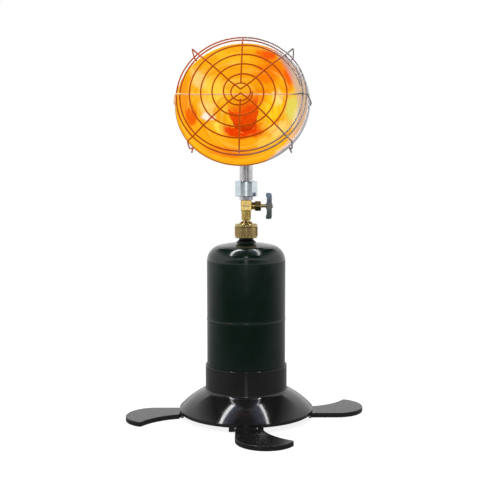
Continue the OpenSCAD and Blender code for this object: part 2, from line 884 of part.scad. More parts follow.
module mixer_collar() {
    color([0.70, 0.62, 0.45])
        translate([0, 0, block_top])
            difference() {
                union() {
                    translate([0, 0, -collar_spigot])
                        cylinder(r = collar_spigot_r, h = collar_spigot + 1);
                    translate([0, 0, fit_gap]) cylinder(r = collar_r, h = collar_h - fit_gap);
                    translate([0, 0, collar_h - 1])
                        cylinder(r = tube_in - fit_gap, h = tube_socket_len + 1);
                }
                translate([0, 0, -5]) cylinder(r = jet_r + fit_gap, h = 20);
            }
}

module gas_jet() {
    color([0.86, 0.72, 0.42])
        translate([0, 0, block_top - jet_sink])
            rotate_extrude($fn = 64)
                polygon([
                    [1.2, 0], [jet_r, 0], [jet_r, jet_sink + jet_up - 1.6],
                    [1.4, jet_sink + jet_up], [0.3, jet_sink + jet_up],
                    [0.3, jet_sink + jet_up - 1], [1.2, jet_sink + jet_up - 2.4],
                ]);
}

module air_shroud() {
    color([0.80, 0.81, 0.83])
        translate([0, 0, hex_z + 0.1])
            difference() {
                intersection() {
                    cylinder(d = hex_d, h = hex_h, $fn = 6);
                    rotate_extrude()
                        polygon([
                            [0, 0], [hex_d / 2 - hex_bevel, 0], [hex_d / 2, hex_bevel * 0.6],
                            [hex_d / 2, hex_h - hex_bevel * 0.6],
                            [hex_d / 2 - hex_bevel, hex_h], [0, hex_h],
                        ]);
                }
                translate([0, 0, -1])
                    cylinder(r = shroud_bore_r, h = hex_h - shroud_roof + 1);
                cylinder(r = tube_r + fit_gap, h = hex_h + 1);
            }
}

// The tube's run from the shroud through the bend into the head, as a solid rod.
// The bend is a trace thinner, so that the straight ends lap over it cleanly.
module tube_run(r, extra) {
    rotate([0, 0, head_turn])
        translate([0, -bend_r, bend_z])
            rotate([90, 0, 90]) {
                translate([bend_r, bend_lap, 0]) rotate([90, 0, 0])
                    cylinder(r = r, h = bend_z - hex_z - fit_gap + bend_lap + extra);
                rotate_extrude(angle = bend_turn)
                    translate([bend_r, 0]) circle(r = r - bend_thin);
                rotate([0, 0, bend_turn]) translate([bend_r, -bend_lap, 0]) rotate([-90, 0, 0])
                    cylinder(r = r, h = neck_out - 1 + bend_lap + extra);
            }
}

module mixing_tube() {
    color([0.78, 0.79, 0.81])
        difference() {
            tube_run(tube_r, 0);
            tube_run(tube_in, 1);
            for (a = [45, 135, 225, 315])
                rotate([0, 0, a])
                    translate([0, 0, hex_z + 8.5]) along_x()
                        cylinder(d = air_hole_d, h = tube_r + 1, $fn = 48);
        }
}

// ---------- head ----------

// Half outline of the bowl between its flat seat and the rolled rim
function bowl_line(inset) =
    [for (i = [0:10])
        let (s = i / 10)
        let (r = bowl_seat_r + (rim_r - rim_roll - bowl_seat_r) * s)
        let (lean = atan(2 * (bowl_depth - 1) * s / (rim_r - rim_roll - bowl_seat_r)))
        [r - inset * sin(lean), -bowl_depth + (bowl_depth - 1) * s * s + inset * cos(lean)]];

module reflector() {
    outer = bowl_line(0);
    inner = bowl_line(bowl_wall);
    roll_in = rim_roll - bowl_wall;
    color([0.78, 0.79, 0.80])
        at_head()
            rotate_extrude($fn = 160)
                polygon(concat(
                    [[head_neck_r + fit_gap, -bowl_depth]],
                    [for (i = [0:9]) outer[i]],
                    [[rim_r - rim_roll - 0.3, -1.6], [rim_r - 1.4, -1.5]],
                    arc([rim_r, 0], rim_roll, 228, 360, 8),
                    arc([rim_r, 0], rim_roll, 15, 180, 10),
                    [[rim_r - rim_roll - bowl_wall * 0.7, -0.8]],
                    [for (i = [9:-1:0]) inner[i]],
                    [[head_neck_r + fit_gap, -bowl_depth + bowl_wall]]
                ));
}

module burner_cup() {
    color([0.55, 0.54, 0.52])
        at_head()
            rotate_extrude()
                polygon([
                    [tube_r + fit_gap, -bowl_depth - neck_out],
                    [head_neck_r, -bowl_depth - neck_out], [head_neck_r, cup_z],
                    [cup_flange_r, cup_z], [cup_flange_r, cup_z + cup_flange_t],
                    [head_neck_r, cup_z + cup_flange_t], [head_neck_r, cup_z + 6],
                    [bell_r - 2, bell_top - 7], [bell_r, bell_top - 5], [bell_r, bell_top],
                    [bell_r - 1.2, bell_top], [bell_r - 1.2, bell_top - 4.6],
                    [bell_r - 3.2, bell_top - 6.2], [tube_in, cup_z + 6],
                    [tube_in, -bowl_depth - 1.8], [tube_r + fit_gap, -bowl_depth - 1.8],
                ]);
}

module burner_screen() {
    color([0.45, 0.40, 0.36])
        at_head()
            translate([0, 0, screen_z])
                difference() {
                    ring(screen_r, screen_r - screen_wall, screen_len);
                    for (i = [0:slot_count - 1])
                        rotate([0, 0, 360 * i / slot_count])
                            translate([screen_r - 3, -slot_w / 2, 2])
                                cube([6, slot_w, screen_len - 4]);
                }
}

module burner_cap() {
    color([0.62, 0.60, 0.56])
        at_head()
            rotate_extrude($fn = 120)
                polygon(concat(
                    [[screen_r + fit_gap, cap_z - 1.6], [burner_r, cap_z - 1.6],
                     [burner_r, cap_z + cap_skirt]],
                    [for (i = [1:6])
                        let (s = 1 - i / 6)
                        [burner_r * s, cap_z + cap_skirt + cap_dome * (1 - s * s)]],
                    [[0, cap_z + cap_skirt + cap_dome - cap_wall],
                     [screen_r * 0.7, cap_z + cap_skirt], [screen_r - 2, cap_z + fit_gap],
                     [screen_r + fit_gap, cap_z + fit_gap]]
                ));
}

module clamp_washer() {
    color([0.30, 0.28, 0.26])
        at_head()
            translate([0, 0, -bowl_depth - fit_gap - washer_t])
                ring(cup_flange_r, head_neck_r + fit_gap, washer_t);
}

module clamp_nut() {
    color([0.75, 0.76, 0.78])
        at_head()
            translate([0, 0, -bowl_depth - 2 * fit_gap - washer_t - clamp_t])
                difference() {
                    cylinder(d = clamp_flats, h = clamp_t, $fn = 6);
                    translate([0, 0, -1]) cylinder(r = head_neck_r + fit_gap, h = clamp_t + 2);
                }
}

// ---------- guard ----------

// How far the guard's face stands in front of the rim at radius r
function guard_face(r) = guard_rise - (guard_rise - edge_rise) * pow(r / edge_r, guard_power);

module guard_spiral() {
    count = ceil(spiral_turns * spiral_steps);
    path = [for (i = [0:count])
        let (turn = spiral_turns * i / count)
        let (last = max(0, 1 - 4 * (spiral_turns - turn)))
        let (r = spiral_start_r + spiral_pitch * turn + spiral_flare * last * last)
        [r * cos(-360 * turn), r * sin(-360 * turn), guard_face(r)]];
    color([0.62, 0.45, 0.32])
        at_head() wire_along(path, [0, 0, 1], wire_r);
}

module guard_centre_ring() {
    color([0.62, 0.45, 0.32])
        at_head()
            translate([0, 0, guard_face(ring_r)]) torus(ring_r, wire_r);
}

module guard_edge_rings() {
    color([0.70, 0.68, 0.66])
        at_head() {
            translate([0, 0, guard_face(edge_r)]) torus(edge_r, wire_r);
            translate([0, 0, guard_face(edge_in_r)]) torus(edge_in_r, wire_r);
        }
}

// Radial part of a wire over the guard's face, as [radius, height] from r_from to the edge
function spoke_line(r_from, r_to) =
    [for (i = [0:spoke_steps])
        let (r = r_from + (r_to - r_from) * i / spoke_steps)
        [r, guard_face(r) + spoke_lift]];

// Radial part of the side wire: behind the spiral, then up over the edge rings
function side_spoke() =
    [[4, side_z], [side_flat_r, side_z],
     [edge_in_r - 1.5, guard_face(edge_in_r) + spoke_lift],
     [edge_in_r + 1, guard_face(edge_in_r) + spoke_lift],
     [spoke_end_r, guard_face(spoke_end_r) + spoke_lift]];

// Radial part of a wire from the guard's edge to a catch behind the rolled rim.
// The lean brings its front end inwards, and the tail reaches back behind the rim.
function hook_line(out_r, lean, tail) =
    let (top = guard_face(spoke_end_r) + spoke_lift)
    let (front_r = out_r - lean)
    let (grip_r = rim_r + hook_grip * cos(60))
    let (grip_z = -hook_grip * sin(60))
    let (back = tail + grip_z)
    let (flare = back * 0.39)
    concat(
        [[front_r - 1.6, top], [front_r - 0.45, top - 0.5], [front_r, top - 1.7], [out_r, 1.5]],
        arc([rim_r, 0], hook_grip, -12, -60, 4),
        [[grip_r + flare * 0.25, grip_z - back * 0.25],
         [grip_r + flare * 0.87, grip_z - back * 0.65],
         [grip_r + flare, -tail]]
    );

function at_angle(line, a) = [for (q = line) [q.x * cos(a), q.x * sin(a), q.y]];

function corner_half(a) =
    at_angle(concat(spoke_line(4, spoke_end_r), hook_line(corner_hook_r, 0, corner_tail)), a);

function side_half(a) =
    at_angle(concat(side_spoke(), hook_line(side_hook_r, side_hook_lean, side_tail)), a);

// One wire of the cross, bent in the middle and hooked over the rim at both ends
module corner_wire(a, b, shift) {
    path = concat(
        turned_back(corner_half(a)),
        [[0, shift, guard_rise + spoke_lift]],
        corner_half(b)
    );
    color([0.66, 0.50, 0.38])
        at_head() wire_along(path, [cos((a + b) / 2 + 90), sin((a + b) / 2 + 90), 0.02], wire_r);
}

module guard_upper_wire() { corner_wire(45, 135, 2.4); }
module guard_lower_wire() { corner_wire(225, 315, -2.4); }

module guard_side_wire() {
    color([0.66, 0.50, 0.38])
        at_head()
            wire_along(concat(turned_back(side_half(0)), side_half(180)), [0, -1, 0.02], wire_r);
}

module guard_short_wires() {
    color([0.66, 0.50, 0.38])
        at_head()
            for (a = [90, 270])
                wire_along(at_angle(spoke_line(ring_r - 1, spoke_end_r), a), [1, 0, 0], wire_r);
}

stand_base();
leg_front();
leg_right();
leg_back();
leg_left();
hinge_pins();
cylinder_lower();
cylinder_upper();
weld_bead();
foot_ring();
valve_boss();
relief_valve();
valve_core();
core_spring();
coupling_nut();
inlet_nipple();
depressor_pin();
inlet_seal();
valve_body();
blanking_plug();
packing_nut();
packing_ring();
needle_stem();
knob();
knob_screw();
mixer_collar();
gas_jet();
air_shroud();
mixing_tube();
clamp_nut();
clamp_washer();
reflector();
burner_cup();
burner_screen();
burner_cap();
guard_spiral();
guard_centre_ring();
guard_edge_rings();
guard_upper_wire();
guard_lower_wire();
guard_side_wire();
guard_short_wires();
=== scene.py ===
import math

import bmesh
import bpy
from mathutils import Matrix, Vector
from mathutils.geometry import interpolate_bezier


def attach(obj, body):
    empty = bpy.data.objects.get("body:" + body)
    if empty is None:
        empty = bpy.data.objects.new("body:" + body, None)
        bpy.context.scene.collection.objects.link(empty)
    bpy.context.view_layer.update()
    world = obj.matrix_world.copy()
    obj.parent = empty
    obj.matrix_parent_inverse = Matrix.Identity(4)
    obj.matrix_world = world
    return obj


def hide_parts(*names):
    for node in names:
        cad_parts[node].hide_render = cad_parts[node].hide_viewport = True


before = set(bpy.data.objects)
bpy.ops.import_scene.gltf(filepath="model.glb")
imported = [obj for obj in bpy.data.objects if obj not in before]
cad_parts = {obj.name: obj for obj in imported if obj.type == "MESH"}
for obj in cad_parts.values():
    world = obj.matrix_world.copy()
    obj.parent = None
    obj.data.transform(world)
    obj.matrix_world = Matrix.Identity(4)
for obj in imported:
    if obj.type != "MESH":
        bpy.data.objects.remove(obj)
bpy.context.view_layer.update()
mm = 0.001
print("frame loaded:", len(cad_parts), "nodes")

# camera level with the heater's tube, looking a little down, on a short telephoto
camera = {"distance": 1203, "height": 336.6, "pitch": 5.37, "lens": 72.4, "sensor": 36,
          "shift": -0.0129, "clip": (0.05, 60)}
cameraData = bpy.data.cameras.new("camera")
cameraData.lens = camera["lens"]
cameraData.sensor_width = camera["sensor"]
cameraData.shift_x = camera["shift"]
cameraData.clip_start, cameraData.clip_end = camera["clip"]
cameraObject = bpy.data.objects.new("camera", cameraData)
cameraObject.matrix_world = (
    Matrix.Translation((0, -camera["distance"] * mm, camera["height"] * mm))
    @ Matrix.Rotation(math.radians(90 - camera["pitch"]), 4, "X"))
bpy.context.scene.collection.objects.link(cameraObject)
bpy.context.scene.camera = cameraObject
bpy.context.scene.view_settings.view_transform = "Standard"


def linear(hexColour):
    # an sRGB hex colour as the linear values that a shader takes
    channels = [int(hexColour[i:i + 2], 16) / 255 for i in (0, 2, 4)]
    return [c / 12.92 if c <= 0.04045 else ((c + 0.055) / 1.055) ** 2.4 for c in channels] + [1]


def grain(size):
    # noise scale for grains of that many millimetres
    return 1 / (size * mm)


def bands(pitch):
    # wave scale for bands that many millimetres apart
    return math.pi / 10 / (pitch * mm)


def addNode(tree, kind, settings=(), links=()):
    node = tree.nodes.new("ShaderNode" + kind)
    for key, value in dict(settings).items():
        if key == "stops":
            elements = node.color_ramp.elements
            while len(elements) < len(value):
                elements.new(1)
            for element, (place, shade) in zip(elements, value):
                element.position = place
                element.color = linear(shade)
        elif isinstance(key, int) or key in node.inputs:
            node.inputs[key].default_value = value
        else:
            setattr(node, key, value)
    for key, source in dict(links).items():
        tree.links.new(source, node.inputs[key])
    return node


def calc(tree, kind, operation, *values):
    # one step of arithmetic; each value is a number, a vector or a socket
    node = addNode(tree, kind, {"operation": operation})
    for place, value in enumerate(values):
        if isinstance(value, bpy.types.NodeSocket):
            tree.links.new(value, node.inputs[place])
        else:
            node.inputs[place].default_value = value
    isNumber = kind == "Math" or operation in ("LENGTH", "DOT_PRODUCT")
    return node.outputs["Value" if isNumber else "Vector"]


def ranged(tree, value, low, high, first=0, last=1, kind="LINEAR"):
    # low to high spread over first to last, and held there beyond
    return addNode(tree, "MapRange", {
        "From Min": low, "From Max": high, "To Min": first, "To Max": last,
        "interpolation_type": kind}, {"Value": value}).outputs["Result"]


def ramped(tree, value, *stops):
    return addNode(tree, "ValToRGB", {"stops": stops}, {"Fac": value}).outputs["Color"]


def mixed(tree, factor, first, second):
    # factor is a number or a socket, the others are hex colours or sockets
    mix = addNode(tree, "Mix", {"data_type": "RGBA"})
    for key, value in ((0, factor), (6, first), (7, second)):
        if isinstance(value, bpy.types.NodeSocket):
            tree.links.new(value, mix.inputs[key])
        else:
            mix.inputs[key].default_value = value if key == 0 else linear(value)
    return mix.outputs[2]


def partOf(tree, coords, axis):
    return addNode(tree, "SeparateXYZ", {}, {"Vector": coords}).outputs[axis]


def scaled(tree, coords, scale):
    return addNode(tree, "Mapping", {"Scale": scale}, {"Vector": coords}).outputs[0]


def noiseOf(tree, coords, size, detail=2, squash=None):
    if squash:
        coords = scaled(tree, coords, squash)
    return addNode(tree, "TexNoise", {"Scale": grain(size), "Detail": detail},
                   {"Vector": coords}).outputs["Fac"]


def startMaterial(name, settings):
    material = bpy.data.materials.new(name)
    material.use_nodes = True
    tree = material.node_tree
    shader = tree.nodes["Principled BSDF"]
    for key, value in settings.items():
        shader.inputs[key].default_value = value
    coords = addNode(tree, "TexCoord").outputs["Object"]
    return material, tree, shader, coords


def setInput(tree, shader, socket, source):
    tree.links.new(source, shader.inputs[socket])


def mottled(tree, shader, coords, size, first, second, socket="Base Color", detail=3):
    # cloudy change of colour or roughness over the surface
    clouds = noiseOf(tree, coords, size, detail)
    if socket == "Base Color":
        spread = ramped(tree, clouds, (0.3, first), (0.7, second))
    else:
        spread = ranged(tree, clouds, 0.3, 0.7, first, second)
    setInput(tree, shader, socket, spread)


def grained(tree, shader, height, depth):
    # relief of that many millimetres
    bump = addNode(tree, "Bump", {"Strength": 1.0, "Distance": depth * mm}, {"Height": height})
    setInput(tree, shader, "Normal", bump.outputs["Normal"])


def cloudyMaterial(s):
    # clouds of two shades, patches of two roughnesses, a fine relief; each starts with its size
    material, tree, shader, coords = startMaterial(s["name"], s["base"])
    mottled(tree, shader, coords, *s["shades"], detail=s.get("detail", 3))
    if "rough" in s:
        mottled(tree, shader, coords, *s["rough"], "Roughness")
    size, depth, *more = s["relief"]
    grained(tree, shader, noiseOf(tree, coords, size, *more), depth)
    return material


def platedSteel(name, light, dark, rough):
    # drawing lines run up the sheet
    return {"name": name, "base": {"Metallic": 1.0}, "shades": (7, dark, light),
            "rough": (4, rough * 0.8, rough * 1.3), "relief": (0.6, 0.001, 2, (1, 1, 0.04))}


cloudyFinishes = {
    # high-gloss injection-moulded ABS: a deep black with a faint waviness from the mould
    "abs": {"name": "mouldedBlackAbs", "base": {"IOR": 1.5}, "shades": (24, "161414", "1C1B1B"),
            "rough": (9, 0.07, 0.13), "relief": (7, 0.008, 1)},
    # the same ABS off a spark-eroded mould: satin, greyer where light grazes it; real spark
    # grain is 0.05 mm, drawn ten times as coarse so that it shows
    "legAbs": {"name": "grainedBlackAbs", "base": {"IOR": 1.5}, "shades": (18, "0D0D0E", "141416"),
               "rough": (6, 0.22, 0.32), "relief": (0.5, 0.002)},
    # baked alkyd enamel on drawn steel: bottle green, glossy, with slight orange peel
    "enamel": {"name": "bakedGreenEnamel", "base": {"IOR": 1.5}, "shades": (30, "07160F", "0A1B15"),
               "rough": (14, 0.1, 0.18), "relief": (1.6, 0.008)},
    # hot-forged brass: a slightly wavy skin that tumbling has smoothed
    "forged": {"name": "forgedBrass", "base": {"Metallic": 1.0}, "shades": (3.5, "957C40", "BCA462"),
               "detail": 5, "rough": (2, 0.05, 0.11), "relief": (1.6, 0.006, 3)},
    # nitrile rubber: matt black with a soft bloom
    "rubber": {"name": "nitrileRubber", "base": {"Roughness": 0.8, "IOR": 1.52},
               "shades": (2, "121212", "1E1E1D"), "relief": (0.4, 0.02)},
    # pressed PTFE: waxy white
    "ptfe": {"name": "pressedPtfe", "base": {"Roughness": 0.45, "IOR": 1.35},
             "shades": (2, "DEDDD7", "EDECE8"), "relief": (0.5, 0.01)},
    # blue-bright zinc on the pressed hexagon: cool white metal, slightly cloudy
    "zinc": platedSteel("brightZincPlate", "D6E1E5", "C2CFD5", 0.15),
    # zinc dulled by dipping: a soft lilac white
    "collar": platedSteel("dullZincPlate", "E9E6EE", "DAD6E2", 0.38),
    # nickel on the drawn tube: a clear neutral mirror
    "tube": platedSteel("nickelPlate", "CFCDCE", "B9B6B8", 0.17),
    # zinc on the small hardware: plain grey-white metal
    "steel": platedSteel("zincPlatedSteel", "C4C6C8", "A9ACAF", 0.3),
}


# lacquered steel valve neck, nearly black green, zinc showing on the thread and in the socket
def lacqueredNeck():
    material, tree, shader, coords = startMaterial("lacqueredSteel", {})
    bare = ranged(tree, partOf(tree, coords, "Z"), 0.2262, 0.2268)
    setInput(tree, shader, "Base Color", mixed(tree, bare, "0B120E", "A8A69E"))
    setInput(tree, shader, "Metallic", bare)
    mottled(tree, shader, coords, 5, 0.28, 0.42, "Roughness")
    grained(tree, shader, noiseOf(tree, coords, 1.2), 0.015)
    return material


# free-cutting brass off the lathe: pale yellow metal with fine turning marks
def turnedBrass():
    material, tree, shader, coords = startMaterial("turnedBrass", {"Metallic": 1.0})
    mottled(tree, shader, coords, 6, "BCA266", "D8C288")
    mottled(tree, shader, coords, 3, 0.08, 0.16, "Roughness")
    # feed marks 0.35 mm apart up the axis
    marks = addNode(tree, "TexWave", {"bands_direction": "Z", "Scale": bands(0.35),
                                      "Distortion": 0.4}, {"Vector": coords})
    grained(tree, shader, marks.outputs["Fac"], 0.004)
    return material


# knurled brass: brown in the cuts, pale on the diamonds' tips
def knurledBrass():
    material, tree, shader, coords = startMaterial("knurledBrass", {"Metallic": 1.0})
    radius = calc(tree, "VectorMath", "LENGTH", scaled(tree, coords, (1, 1, 0)))
    tips = ranged(tree, radius, 0.01385, 0.01425)
    band = calc(tree, "Math", "COMPARE", partOf(tree, coords, "Z"), 0.23475, 0.0058)
    grooves = mixed(tree, tips, "7E6438", "D2B67E")
    plain = mixed(tree, noiseOf(tree, coords, 5), "B8A266", "D2BF86")
    setInput(tree, shader, "Base Color", mixed(tree, band, plain, grooves))
    mottled(tree, shader, coords, 3, 0.2, 0.32, "Roughness")
    grained(tree, shader, noiseOf(tree, coords, 0.6), 0.006)
    return material


# glass-filled nylon: slate blue-grey, satin, with pale flow marks
def filledNylon():
    material, tree, shader, coords = startMaterial("filledNylon", {"IOR": 1.53})
    # painted light along the bar: a painted highlight at the top, painted shade towards the foot
    along = ranged(tree, partOf(tree, coords, "Z"), 0.2502, 0.2824)
    shade = ramped(tree, along, (0.05, "2F403D"), (0.3, "45524F"), (0.5, "76756B"),
                   (0.68, "566072"), (0.95, "7D8DA6"))
    flow = calc(tree, "Math", "MULTIPLY", noiseOf(tree, coords, 2.5, 4, (1, 1, 0.3)), 0.25)
    setInput(tree, shader, "Base Color", mixed(tree, flow, shade, "56616A"))
    mottled(tree, shader, coords, 3, 0.3, 0.46, "Roughness")
    grained(tree, shader, noiseOf(tree, coords, 0.4), 0.012)
    return material


# the head's place: rim centre at the origin, +Z out of the bowl, +Y up
head = {"turn": -3.9, "tilt": 24, "out": 66.038, "height": 390}
headPlace = (Matrix.Rotation(math.radians(head["turn"]), 4, "Z")
             @ Matrix.Translation((0, -head["out"] * mm, head["height"] * mm))
             @ Matrix.Rotation(math.radians(90 - head["tilt"]), 4, "X"))


def headCoords(tree, coords, centre=(0, 0, 0), size=(1, 1, 1)):
    # Object coordinates as millimetres in the head's own frame, about a centre
    spot = headPlace @ Matrix.Translation(Vector(centre) * mm)
    return addNode(tree, "Mapping", {
        "vector_type": "TEXTURE", "Location": spot.translation, "Rotation": spot.to_euler(),
        "Scale": Vector(size) * mm}, {"Vector": coords}).outputs[0]


def softSpot(tree, coords, centre, size):
    # 1 in the middle of a soft round spot, 0 at its edge
    place = headCoords(tree, coords, centre, size)
    return addNode(tree, "TexGradient", {"gradient_type": "SPHERICAL"},
                   {"Vector": place}).outputs["Fac"]


# painted reflections of the burner in the dish: x, y, width, height in mm, colour, strength
paintedGlowSpots = {
    "yellowLeft": (-37, 33, 18, 19, "FFE04A", 0.9),
    "paleLeft": (-54, 39, 13, 13, "FFE08A", 0.8),
    "yellowTop": (-18, 66, 31, 7, "FFD028", 0.8),
    "deepTop": (14, 30, 24, 12, "FF8C0A", 0.8),
    "deepRight": (31, 52, 26, 16, "FF8A0C", 1.1),
    "redRight": (55, 44, 13, 19, "FB6A0C", 1.0),
    "redTop": (34, 68, 26, 8, "F9620E", 1.0),
    "yellowRight": (34, 14, 17, 20, "FFD622", 0.9),
    "paleRight": (39, 24, 9, 13, "FFEC9A", 0.7),
    "greenRight": (58, 2, 12, 27, "E2DC62", 1.0),
    "paleGreen": (66, -12, 9, 24, "E9E9B4", 0.9),
    "oliveLow": (44, -20, 19, 15, "F4E07A", 0.9),
    "streakLeft": (-62, -9, 7, 20, "F26A08", 1.1),
    "orangeLeft": (-70, 12, 8, 30, "F79A22", 0.8),
    "creamLeft": (-45, 10, 12, 17, "FFE27E", 0.8),
    "whiteLeft": (-43, -2, 9, 9, "FFFBE6", 1.0),
    "yellowLow": (-28, -12, 15, 10, "FFD84A", 0.8),
    "redBelow": (-2, -14, 31, 14, "EE4200", 1.3),
    "orangeFoot": (-21, -52, 36, 17, "F58A12", 1.0),
    "yellowFoot": (30, -34, 20, 13, "FFDA52", 0.9),
    "silverLow": (50, -61, 14, 12, "F6E9C6", 0.9),
}


# the bowl's sheet: how deep it is at its seat, where it starts to rise, how far it runs out
bowl = {"depth": 46, "seatR": 15.5, "run": 59.8}


# spun aluminium dish, bright-dipped; the burner's reflection in it is painted as glow, with painted
# streaks, a painted silver reflection at the right and painted shade along the rim
def dishWithPaintedGlow():
    material, tree, shader, coords = startMaterial("brightAluminiumPaintedGlow", {
        "Metallic": 1.0, "Roughness": 0.3})
    place = headCoords(tree, coords)
    # the spots' edges are pulled about by some millimetres, as the sheet's waves do
    pull = 0.02
    waves = addNode(tree, "TexNoise", {"Scale": 0.08, "Detail": 4}, {"Vector": place})
    pulled = calc(tree, "VectorMath", "MULTIPLY_ADD", waves.outputs["Color"], (pull,) * 3, coords)
    centred = calc(tree, "VectorMath", "SUBTRACT", pulled, (pull / 2,) * 3)
    paintedGlow = mixed(tree, noiseOf(tree, coords, 26), "FBA812", "FFC01C")
    for x, y, width, tall, shade, strength in paintedGlowSpots.values():
        # the bowl's depth at that place keeps the spot on the sheet
        out = max(0, math.hypot(x, y) - bowl["seatR"]) / bowl["run"]
        deep = (bowl["depth"] - 1) * out ** 2 - bowl["depth"]
        spot = softSpot(tree, centred, (x, y, deep), (width, tall, 50))
        paintedGlow = mixed(tree, ranged(tree, spot, 0, 0.6, 0, strength, "SMOOTHSTEP"), paintedGlow, shade)
    # painted reflection: streaks that follow the spinning, darker and lighter than the glow between
    # them
    flat = scaled(tree, place, (1, 1, 0))
    radius = calc(tree, "VectorMath", "LENGTH", flat)
    heading = calc(tree, "VectorMath", "NORMALIZE", flat)
    outward = addNode(tree, "CombineXYZ", {}, {"Z": radius}).outputs[0]
    along = calc(tree, "VectorMath", "MULTIPLY_ADD", heading, (4, 4, 4), outward)
    streaks = addNode(tree, "TexNoise", {"Scale": 0.3, "Detail": 3}, {"Vector": along}).outputs["Fac"]
    for low, high, share, shade in ((0.54, 0.72, 0.5, "F07E10"), (0.46, 0.28, 0.45, "FFE468")):
        paintedGlow = mixed(tree, ranged(tree, streaks, low, high, 0, share), paintedGlow, shade)
    # painted shade: the rolled rim ends in a thin dark line
    edge = ranged(tree, radius, 77.9, 78.6, 0, 0.85)
    paintedGlow = mixed(tree, edge, paintedGlow, "A83A16")
    # the painted glow lies on the bowl's inside only, and gives way to a painted silver reflection at
    # the far right
    right = calc(tree, "Math", "MULTIPLY_ADD", partOf(tree, place, "X"), 0.45, radius)
    near = ranged(tree, right, 98, 91)
    setInput(tree, shader, "Emission Color", mixed(tree, near, "CFCBCD", paintedGlow))
    front = addNode(tree, "Attribute", {"attribute_name": "inside"}).outputs["Fac"]
    lit = calc(tree, "Math", "MULTIPLY", near, front)
    level = ranged(tree, near, 0, 1, 0.4, 0.84)
    setInput(tree, shader, "Emission Strength", calc(tree, "Math", "MULTIPLY", level, front))
    # where the painted glow lies, the metal's colour is a darker copy of it: a painted reflection
    paintedWarmth = mixed(tree, 0.76, paintedGlow, "000000")
    sheet = mixed(tree, noiseOf(tree, coords, 12), "C8C5C4", "A5A2A2")
    # the painted shade at the rim's edge darkens the bare metal too
    bare = mixed(tree, edge, sheet, "5E595A")
    setInput(tree, shader, "Base Color", mixed(tree, lit, bare, paintedWarmth))
    # spinning marks, 0.8 mm apart; this texture is in millimetres
    marks = addNode(tree, "TexWave", {"wave_type": "RINGS", "rings_direction": "Z",
                                      "Scale": bands(0.8) * mm}, {"Vector": place})
    grained(tree, shader, marks.outputs["Fac"], 0.002)
    return material


# the burner's stainless cap at red heat: yellow-orange above, redder down its right side
def glowingCap():
    material, tree, shader, coords = startMaterial("stainlessAtRedHeat", {
        "Metallic": 1.0, "Roughness": 0.5, "Base Color": linear("4A2A10"),
        "Emission Strength": 0.9})
    slant = calc(tree, "VectorMath", "DOT_PRODUCT", headCoords(tree, coords), (-0.55, 0.8, 0.3))
    blotches = calc(tree, "Math", "MULTIPLY_ADD", noiseOf(tree, coords, 5), 0.3,
                    ranged(tree, slant, -18, 22))
    setInput(tree, shader, "Emission Color", ramped(
        tree, blotches, (0.15, "EE3A00"), (0.4, "F8600A"), (0.65, "FFA010"), (0.95, "FFBE1C")))
    grained(tree, shader, noiseOf(tree, coords, 0.7, 4), 0.02)
    return material


# pressed stainless burner parts at red heat: orange glow over scaled steel
def redHotSteel(name, first, second, strength, size):
    material, tree, shader, coords = startMaterial(name, {
        "Metallic": 1.0, "Roughness": 0.6, "Base Color": linear("3A2015")})
    # what stands out behind the dish is below red heat
    depth = partOf(tree, headCoords(tree, coords), "Z")
    setInput(tree, shader, "Emission Strength", ranged(tree, depth, -46, -43, 0, strength))
    setInput(tree, shader, "Emission Color", ramped(tree, noiseOf(tree, coords, size),
                                                    (0.3, first), (0.7, second)))
    grained(tree, shader, noiseOf(tree, coords, 0.7, 4), 0.02)
    return material


# plated steel guard wire: silver, with a painted reflection of the dish's glow in brown and straw, and
# a painted glow where it crosses the dish
def paintedGlowWire(name, paintedTints, paintedGlows, paintedGlowLevel):
    material, tree, shader, coords = startMaterial(name, {"Metallic": 1.0, "Roughness": 0.3})
    place = headCoords(tree, coords)
    radius = calc(tree, "VectorMath", "LENGTH", scaled(tree, place, (1, 1, 0)))
    right = calc(tree, "Math", "MULTIPLY_ADD", partOf(tree, place, "X"), 0.25, radius)
    paintedWarmth = ranged(tree, right, 66, 84, 1, 0)
    tint = mixed(tree, noiseOf(tree, coords, 6), *paintedTints)
    setInput(tree, shader, "Base Color", mixed(tree, paintedWarmth, "A8A2A4", tint))
    setInput(tree, shader, "Emission Color", mixed(tree, noiseOf(tree, coords, 14), *paintedGlows))
    setInput(tree, shader, "Emission Strength", calc(tree, "Math", "MULTIPLY", paintedWarmth, paintedGlowLevel))
    # drawing lines in the wire
    grained(tree, shader, noiseOf(tree, coords, 0.3), 0.004)
    return material


finishes = {key: cloudyMaterial(s) for key, s in cloudyFinishes.items()}
finishes |= {
    "neck": lacqueredNeck(),
    "turned": turnedBrass(),
    "knurled": knurledBrass(),
    "nylon": filledNylon(),
    "dish": dishWithPaintedGlow(),
    "cap": glowingCap(),
    "screen": redHotSteel("screenAtRedHeat", "E03400", "F65206", 0.92, 4),
    "cup": redHotSteel("scaledSteel", "E23C00", "F04A04", 0.9, 9),
    # both wire finishes are painted reflection and painted glow; the side wire's is paler
    "wire": paintedGlowWire("wireWithPaintedGlow", ("7A3A12", "562408"), ("D85A08", "B84A08"), 0.6),
    "paleWire": paintedGlowWire("paleWireWithPaintedGlow", ("D8B488", "B88A58"), ("FFD69A", "F0B070"), 0.55),
}
print("materials made:", len(finishes))


def profileLoop(corners):
    # a closed profile in the XZ plane from (radius, height, rounding) corners
    bm = bmesh.new()
    verts = [bm.verts.new((corner[0] * mm, 0, corner[1] * mm)) for corner in corners]
    for first, second in zip(verts, verts[1:] + verts[:1]):
        bm.edges.new((first, second))
    byRounding = {}
    for vert, corner in zip(verts, corners):
        if len(corner) > 2:
            byRounding.setdefault(corner[2], []).append(vert)
    for rounding, group in byRounding.items():
        bmesh.ops.bevel(bm, geom=group, offset=rounding * mm, offset_type="OFFSET",
                        affect="VERTICES", segments=4, profile=0.5, material=-1)
    return bm


